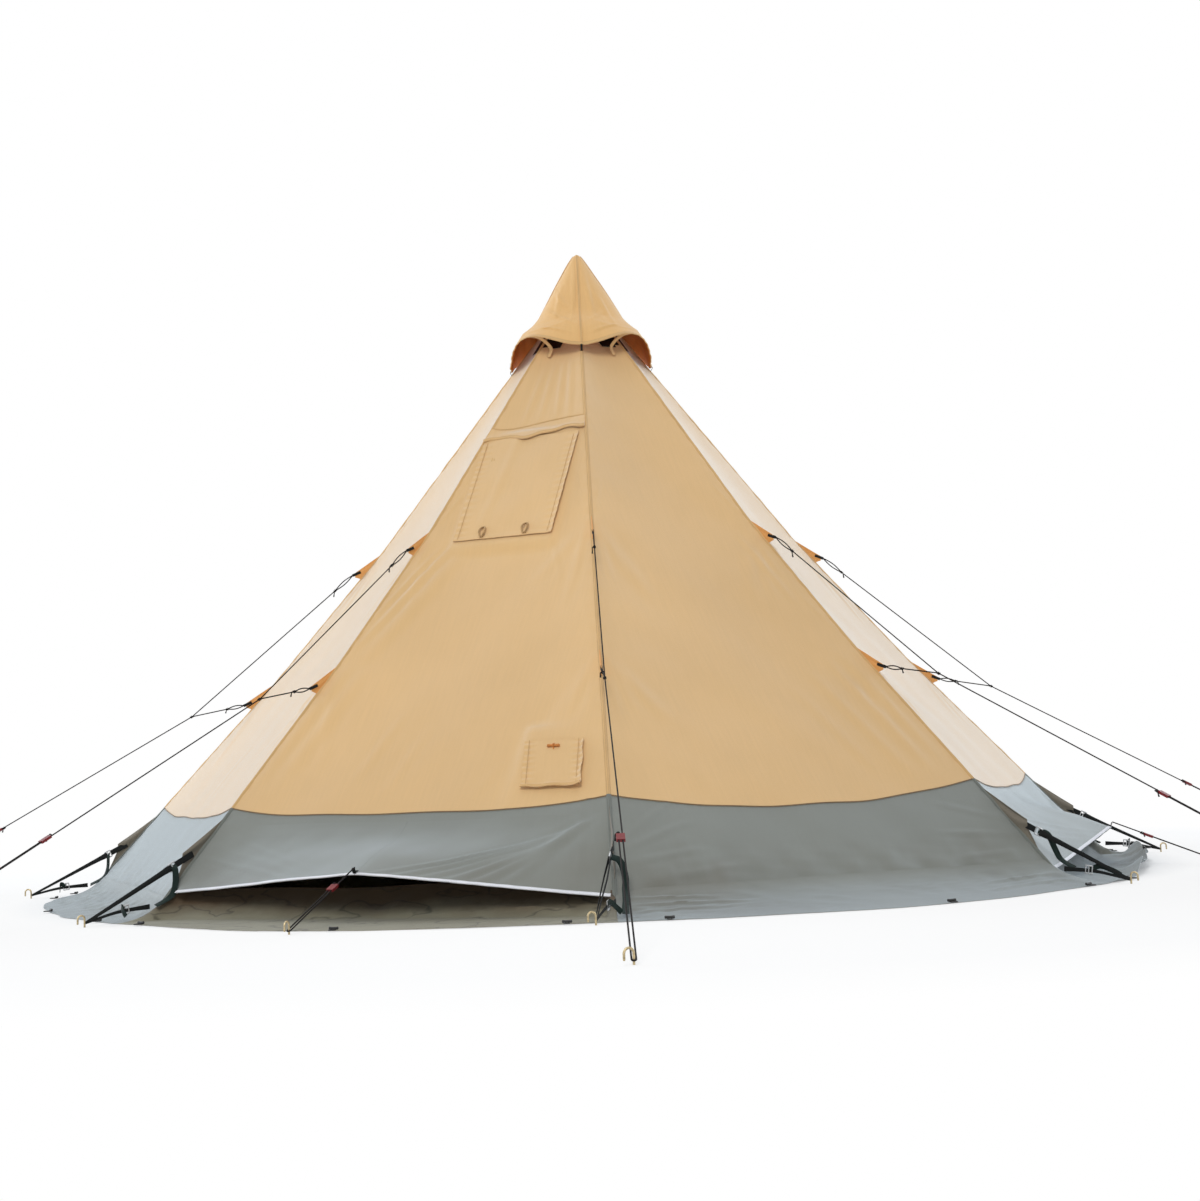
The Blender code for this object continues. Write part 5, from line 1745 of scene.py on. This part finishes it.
def door_cloth():
    """The door's panel: canvas above the band seam, wall cloth below it."""
    clear = 0.008
    across, up = np.broadcast_arrays(np.linspace(-1, 1, 61)[None, :], np.linspace(0, 1, 61)[:, None])
    height = DOOR_SILL_Z + clear + (DOOR_TOP_Z - DOOR_SILL_Z - 2 * clear) * up
    aside = across * (door_half(height) - clear)
    points = facet_points(DOOR_FACET, aside, height, 0.0006)
    mesh = grid_mesh("door_cloth", points, np.stack([aside, run_at(height)], axis=-1))
    mesh.materials.append(CANVAS)
    mesh.materials.append(WALL)
    _, sideways = axes_at(facet_angle(DOOR_FACET))
    for face in mesh.polygons:
        middle = face.center
        share = float(np.dot(np.array(middle), sideways) / half_width(middle.z))
        face.material_index = 1 if middle.z < float(band_height(DOOR_FACET, np.array(share))) else 0
    cloth("door_cloth", mesh, points, FLAP_T, None, "door_flap", ["door_flap"])


def door_place(aside, height, lift):
    return Vector(facet_points(DOOR_FACET, aside, height, lift).tolist())


def door():
    """The door at the back, with its tapes, its zip and its tie-backs."""
    door_cloth()
    _, along, rise, normal = plane_of(DOOR_FACET, DOOR_SILL_Z, DOOR_TOP_Z)
    zs = DOOR_SILL_Z + (DOOR_TOP_Z - DOOR_SILL_Z) * np.linspace(0.0, 1.0, 50)
    for name, side, gap, body, width, material, slot in (
        ("door_zip_fixed", 1, 0.0075, "tent", 0.013, ZIP_TAPE, "zip"),
        ("door_zip_free", 1, -0.0105, "door_flap", 0.013, ZIP_TAPE, "zip"),
        ("door_hinge_tape", -1, 0.0180, "tent", 0.022, HEM, "canvas"),
        ("door_edge_tape", -1, -0.0190, "door_flap", 0.018, HEM, "canvas"),
    ):
        line = facet_points(DOOR_FACET, side * (door_half(zs) + gap), zs, 0.0026)
        ribbon(name, line.tolist(), along, width, 0.0020, material, body)
    for body, gap in (("door_flap", -0.0030), ("tent", 0.0012)):
        meshes = []
        for z in np.linspace(DOOR_SILL_Z + 0.01, DOOR_TOP_Z - 0.01, 150):
            centre = door_place(float(door_half(z)) + gap, float(z), 0.0030)
            ends = [centre - along * 0.0016, centre + along * 0.0016]
            meshes.append(ribbon_mesh("tooth", ends, rise, 0.0030, 0.0022))
        name = f"door_zip_teeth_{body}"
        add(name, joined(name, meshes), ZIP, body)
    aside = np.linspace(-1, 1, 30) * (DOOR_TOP_HALF_W + 0.01)
    top = facet_points(DOOR_FACET, aside, np.full(30, DOOR_TOP_Z + 0.010), 0.0030)
    ribbon("door_head_tape", top.tolist(), rise, 0.024, 0.0026, HEM)
    slider_low, slider_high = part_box("door_zip_slider")
    centre = (slider_low + slider_high) / 2
    run = unit(door_place(door_half(0.5), 0.5, 0.0) - door_place(door_half(0.1), 0.1, 0.0))
    side = unit(normal.cross(run))
    shell = [centre + run * x for x in (-0.015, -0.006, 0.010, 0.015)]
    pull = points_from(centre, (normal, run), ((0.003, 0.004), (0.0055, -0.002), (0.0040, -0.030)))
    meshes = [
        ribbon_mesh("zip_slider", shell, side, 0.012, 0.006),
        ribbon_mesh("zip_slider", smooth_path(pull, 12), side, 0.008, 0.0018),
    ]
    body = "door_zip_slider"
    add("zip_slider_body", joined("zip_slider_body", meshes), ZIP, body, [body])
    for number, z in enumerate((0.30, 0.62)):
        foot = door_place(-float(door_half(z)) - 0.045, z, 0.002)
        toggle_loop(f"door_tie_{number + 1}", foot, along, rise, normal)


# Guy tabs, fins and straps


def plate(name, root, tip, bend, seed, thickness, material, replaced=()):
    """A flat sewn plate between a root line and a tip line, its free edges drawn in."""
    across, reach = np.broadcast_arrays(np.linspace(0, 1, 15)[:, None], np.linspace(0, 1, 15)[None, :])
    root, tip = ([np.array(point) for point in line] for line in (root, tip))
    from_root = root[0] + (root[1] - root[0]) * across[..., None]
    to_tip = tip[0] + (tip[1] - tip[0]) * across[..., None]
    points = from_root + (to_tip - from_root) * reach[..., None]
    middle = (root[0] + root[1] + tip[0] + tip[1]) / 4
    draw = 0.06 * np.sin(pi * reach) * np.abs(across - 0.5) * 2
    points = points + (middle - points) * draw[..., None] * 0.5
    normal = np.cross(root[1] - root[0], tip[0] - root[0])
    normal = normal / np.linalg.norm(normal)
    ripple = waves(across * 0.15, reach * 0.05, 0.10, seed) * bend + bend * 1.2 * np.sin(across * 9 + seed)
    ripple = ripple * np.sin(pi * np.clip(reach * 0.9 + 0.05, 0, 1))
    points = points + normal * ripple[..., None]
    mesh = grid_mesh(name, points, np.stack([across * 0.15, reach * 0.15], axis=-1))
    return add(name, thicken(mesh, thickness), material, "tent", replaced)


def guy_tabs(corner):
    """Two triangular canvas tabs on a corner seam, each with a webbing loop at its tip."""
    along = Vector(axes_at(corner_angle(corner))[1])
    for level, height in (("upper", UPPER_TAB_Z), ("lower", LOWER_TAB_Z)):
        tip_z = height - TAB_DROP
        tip_r = float(seam_radius(tip_z)) + TAB_OUT
        heights = (height, height - TAB_SEAM_L)
        root = [at_corner(corner, float(seam_radius(z)) - 0.002, z, 0.0024) for z in heights]
        tip = [at_corner(corner, tip_r - 0.006, tip_z + side * TAB_TIP / 2, 0.0024) for side in (1, -1)]
        plate(f"guy_tab_{level}_{corner}", root, tip, 0.0012, 200 + corner, 0.0030, TAB_CLOTH_BACKLIT)
        end = at_corner(corner, tip_r + 0.003, tip_z, 0.0010)
        back = unit(end - at_corner(corner, float(seam_radius(tip_z + 0.02)), tip_z + 0.03))
        path = points_from(end, (back, along), (
            (-0.040, 0.0040),
            (-0.012, 0.0042),
            (0.004, 0.0016),
            (-0.012, -0.0022),
            (-0.040, -0.0024),
        ))
        across = unit(back.cross(along))
        ribbon(f"guy_tab_loop_{level}_{corner}", smooth_path(path, 24), across, 0.013, WEBBING_T, WEBBING)


def buckle(name, centre, run, across, normal):
    """A ladder-lock buckle: two side rails and three bars."""
    meshes = []
    for side in (-1, 1):
        rail = [centre + across * side * 0.0150 + run * x for x in (-0.016, -0.014, 0.0, 0.014, 0.016)]
        meshes.append(tube_mesh(name, rail, [0.0016, 0.0025, 0.0028, 0.0025, 0.0016], 10))
    for place, lift in ((-0.0135, 0.0), (0.0, 0.0022), (0.0135, 0.0)):
        middle = centre + run * place + normal * lift
        bar = [middle - across * 0.0150, middle, middle + across * 0.0150]
        meshes.append(tube_mesh(name, bar, 0.0024, 10))
    add(name, joined(name, meshes), BUCKLE, "tent")


# The hanging tail of a strap: radius, height and distance aside, the last two only at the front corner
TAIL_KNOTS = (
    (2.405, 0.185, 0.022),
    (2.418, 0.130, 0.037),
    (2.440, 0.088, 0.036),
    (2.500, 0.056, 0.033),
    (2.560, 0.036, 0.030),
    (2.620, 0.022, 0.026),
)


def corner_strap(corner):
    """A corner's fin, its adjusting strap with buckle and tail, the low strap, and their peg."""
    out, along = (Vector(axis) for axis in axes_at(corner_angle(corner)))
    turned = Vector(axes_at(corner_angle(corner) + 0.9)[1])
    facing = Vector((1.0, 0.0, 0.0)) if corner in (8, 1, 2) else turned
    chance = np.random.RandomState(300 + corner)
    root = [at_corner(corner, float(seam_radius(z)) - 0.001, z) for z in (FIN_TOP_Z, FIN_LOW_Z)]
    tip = [at_corner(corner, FIN_TIP_R, FIN_TIP_Z + side * STRAP_W * 0.62) for side in (1, -1)]
    replaced = [f"corner_strap_{corner}"]
    plate(f"corner_fin_{corner}", root, tip, 0.0035, 240 + corner, 0.0022, FIN_CLOTH, replaced)
    sewn = at_corner(corner, FIN_TIP_R - 0.045, FIN_TIP_Z + 0.012)
    peg_foot = out * STRAP_PEG_R + along * (FRONT_PEG_ASIDE if corner == 1 else 0.0)
    peg_top = peg_foot + UP * LOOP_Z
    start = at_corner(corner, FIN_TIP_R - 0.020, FIN_TIP_Z)
    run = unit(peg_top - start)
    span = (peg_top - start).length
    across = unit(run.cross(UP).cross(run))
    flat = -unit(run.cross(across))
    lock = start + run * span * BUCKLE_SHARE
    path = smooth_path([sewn + along * 0.003, start + along * 0.002, lock - run * 0.012], 12)
    ribbon(f"fin_webbing_{corner}", path, UP, STRAP_W, 0.0036, WEBBING)
    buckle(f"strap_buckle_{corner}", lock, run, across, flat)
    lie = chance.uniform(-0.004, 0.004)
    upper = [
        lock + run * 0.004 + flat * 0.002,
        lock + run * span * 0.3 + flat * 0.006,
        lock + run * span * 0.6 + flat * (0.004 + lie),
        peg_top + flat * 0.003 - run * 0.004,
    ]
    lower = [
        lock + run * 0.008 - flat * 0.004,
        lock + run * span * 0.35 - flat * 0.006,
        peg_top - flat * 0.003 - run * 0.004,
    ]
    gathered_strap(f"strap_upper_{corner}", smooth_path(upper, 26), across, STRAP_W)
    gathered_strap(f"strap_lower_{corner}", smooth_path(lower, 20), across, STRAP_W)
    tail = [lock + UP * 0.004]
    for reach, height, aside in TAIL_KNOTS[:None if corner == 1 else 4]:
        tail.append(at_corner(corner, reach, height) + facing * (aside + chance.uniform(-0.003, 0.003)))
    faces = [unit(facing + UP * 0.15 * sin(i / 27 * 5 + corner)) for i in range(28)]
    ribbon(f"strap_tail_{corner}", smooth_path(tail, 28), faces, STRAP_W * 0.96, WEBBING_T, TAIL_WEBBING)
    low_strap(corner, peg_top, facing)
    peg(f"strap_peg_{corner}", peg_foot, hook_way(corner))


def low_strap(corner, peg_top, facing):
    """The strap from the foot of a corner's seam to its peg, with its buckle and tail."""
    wide = STRAP_W * 0.8
    low = at_corner(corner, float(seam_radius(LOW_STRAP_Z)) + 0.020, LOW_STRAP_Z + 0.024)
    run = unit(peg_top - low)
    reach = run * (peg_top - low).length
    path = [low, low + reach * 0.5 + UP * 0.010, peg_top - run * 0.004 + UP * 0.001]
    flat = unit(run.cross(UP).cross(run))
    gathered_strap(f"low_strap_{corner}", smooth_path(path, 16), flat, wide)
    buckle(f"low_buckle_{corner}", low + reach * 0.38 + UP * 0.012, run, flat, unit(run.cross(flat)))
    rows = ((0.40, 0.014, 0.0), (0.50, 0.030, 0.014), (0.58, 0.016, 0.040), (0.62, 0.0, 0.060))
    tail = smooth_path(points_from(low, (reach, UP, facing), rows), 14)
    ribbon(f"low_tail_{corner}", tail, UP, wide, WEBBING_T, TAIL_WEBBING)


def gathered_strap(name, path, across, width):
    """Webbing that narrows where it gathers round the peg."""
    mesh = ribbon_mesh(name, path, across, width, 0.0018)
    ring = len(RIBBON_SHAPE)
    for number, place in enumerate(path):
        share = number / (len(path) - 1)
        scale = 1 + (STRAP_W * 0.36 / width - 1) * max(0.0, (share - 0.05) / 0.95) ** 0.5
        for vertex in mesh.vertices[number * ring:(number + 1) * ring]:
            offset = vertex.co - place
            aside = across * offset.dot(across)
            vertex.co = place + offset - aside + aside * scale
    add(name, mesh, WEBBING, "tent")


def dress_pole():
    for name, material in (("pole_foot", PLASTIC), ("pole_lower", POLE), ("pole_upper", POLE)):
        repaint(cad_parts[name], material)


# Studio


WHITE = (1.0, 1.0, 1.0, 1.0)
FLOOR_REACH = 60.0
FLOOR_DROP = 0.0005
LAMP_TARGET = Vector((0.0, 0.0, 1.2))
# Every lamp's name, place, size, power and colour
LAMPS = (
    ("front_lamp", (-2.0, -9.0, 8.0), 4.0, 430.0, (1.0, 0.985, 0.96)),
    ("left_lamp", (-10.0, 5.0, 4.0), 6.0, 660.0, (0.84, 0.92, 1.0)),
    ("right_lamp", (10.0, 5.0, 4.0), 6.0, 520.0, (0.84, 0.92, 1.0)),
    ("top_lamp", (0.0, 1.0, 11.0), 7.0, 150.0, (1.0, 1.0, 1.0)),
)
WORLD_STRENGTH = 0.42


def floor_paint():
    """White paint that keeps the shadows near the tent and runs into the white surround further out."""
    paint = Finish("pale_floor", (252, 252, 252), 0.95, Specular_IOR_Level=0.0)
    reach = paint.node("ShaderNodeVectorMath", {0: paint.place()}, operation="LENGTH").outputs["Value"]
    near = paint.ramp(reach, 2.5, 2.75, 0.0, 0.65)
    far = paint.maths("MAXIMUM", paint.ramp(reach, 2.9, 4.8, 0.0, 1.0), near)
    white = paint.node("ShaderNodeEmission", {"Color": WHITE, "Strength": 1.0}).outputs[0]
    share = paint.maths("MULTIPLY", paint.seen(), far)
    mixed = paint.node("ShaderNodeMixShader", {0: share, 1: paint.shader.outputs[0], 2: white}).outputs[0]
    output = paint.tree.nodes["Material Output"]
    paint.tree.links.new(mixed, output.inputs["Surface"])
    return paint.made


def studio():
    """A pale floor, a white surround for the camera, and soft lamps."""
    scene = bpy.context.scene
    scene.view_settings.view_transform = "Standard"
    scene.world = bpy.data.worlds.new("studio")
    scene.world.use_nodes = True
    world = Nodes(scene.world.node_tree)
    world.tree.nodes.clear()
    soft = world.node("ShaderNodeBackground", {"Color": (0.93, 0.96, 1.0, 1.0), "Strength": WORLD_STRENGTH})
    white = world.node("ShaderNodeBackground", {"Color": WHITE})
    mixed = world.node("ShaderNodeMixShader", {0: world.seen(), 1: soft.outputs[0], 2: white.outputs[0]})
    world.node("ShaderNodeOutputWorld", {"Surface": mixed.outputs[0]})
    for name, place, size, power, colour in LAMPS:
        data = bpy.data.lights.new(name, "AREA")
        data.shape = "SQUARE"
        data.size = size
        data.energy = power
        data.color = colour
        lamp = bpy.data.objects.new(name, data)
        scene.collection.objects.link(lamp)
        lamp.location = place
        lamp.rotation_mode = "QUATERNION"
        lamp.rotation_quaternion = (LAMP_TARGET - Vector(place)).to_track_quat("-Z", "Y")
    mesh = bpy.data.meshes.new("floor")
    corners = [(x * FLOOR_REACH, y * FLOOR_REACH, 0.0) for x, y in ((-1, -1), (1, -1), (1, 1), (-1, 1))]
    mesh.from_pydata(corners, [], [[0, 1, 2, 3]])
    floor = bpy.data.objects.new("floor", mesh)
    floor.location = (0.0, 0.0, -FLOOR_DROP)
    scene.collection.objects.link(floor)
    mesh.materials.append(floor_paint())


def build():
    make_camera()
    for corner in range(1, SIDES + 1):
        guyline_set(corner)
    for facet in OPEN_VENTS:
        vent_line_set(facet)
    dress_sliders()
    for facet in range(1, SIDES + 1):
        canvas_skin(facet)
        band_seam(facet)
    skirt()
    for facet in range(1, SIDES + 1):
        wall_skin(facet)
    for facet in VENT_FACETS:
        vent_bay(facet)
    for corner in range(1, SIDES + 1):
        corner_tape(corner, "canvas_seam", BAND_Z, HEAD_Z - 0.02, CANVAS_TAPE, 160)
        corner_tape(corner, "wall_seam", 0.022, BAND_Z + 0.003, WALL_TAPE, 36)
        guy_tabs(corner)
        corner_strap(corner)
    rain_cap()
    pipe_hatch()
    small_hatch()
    door()
    dress_pole()
    studio()


build()
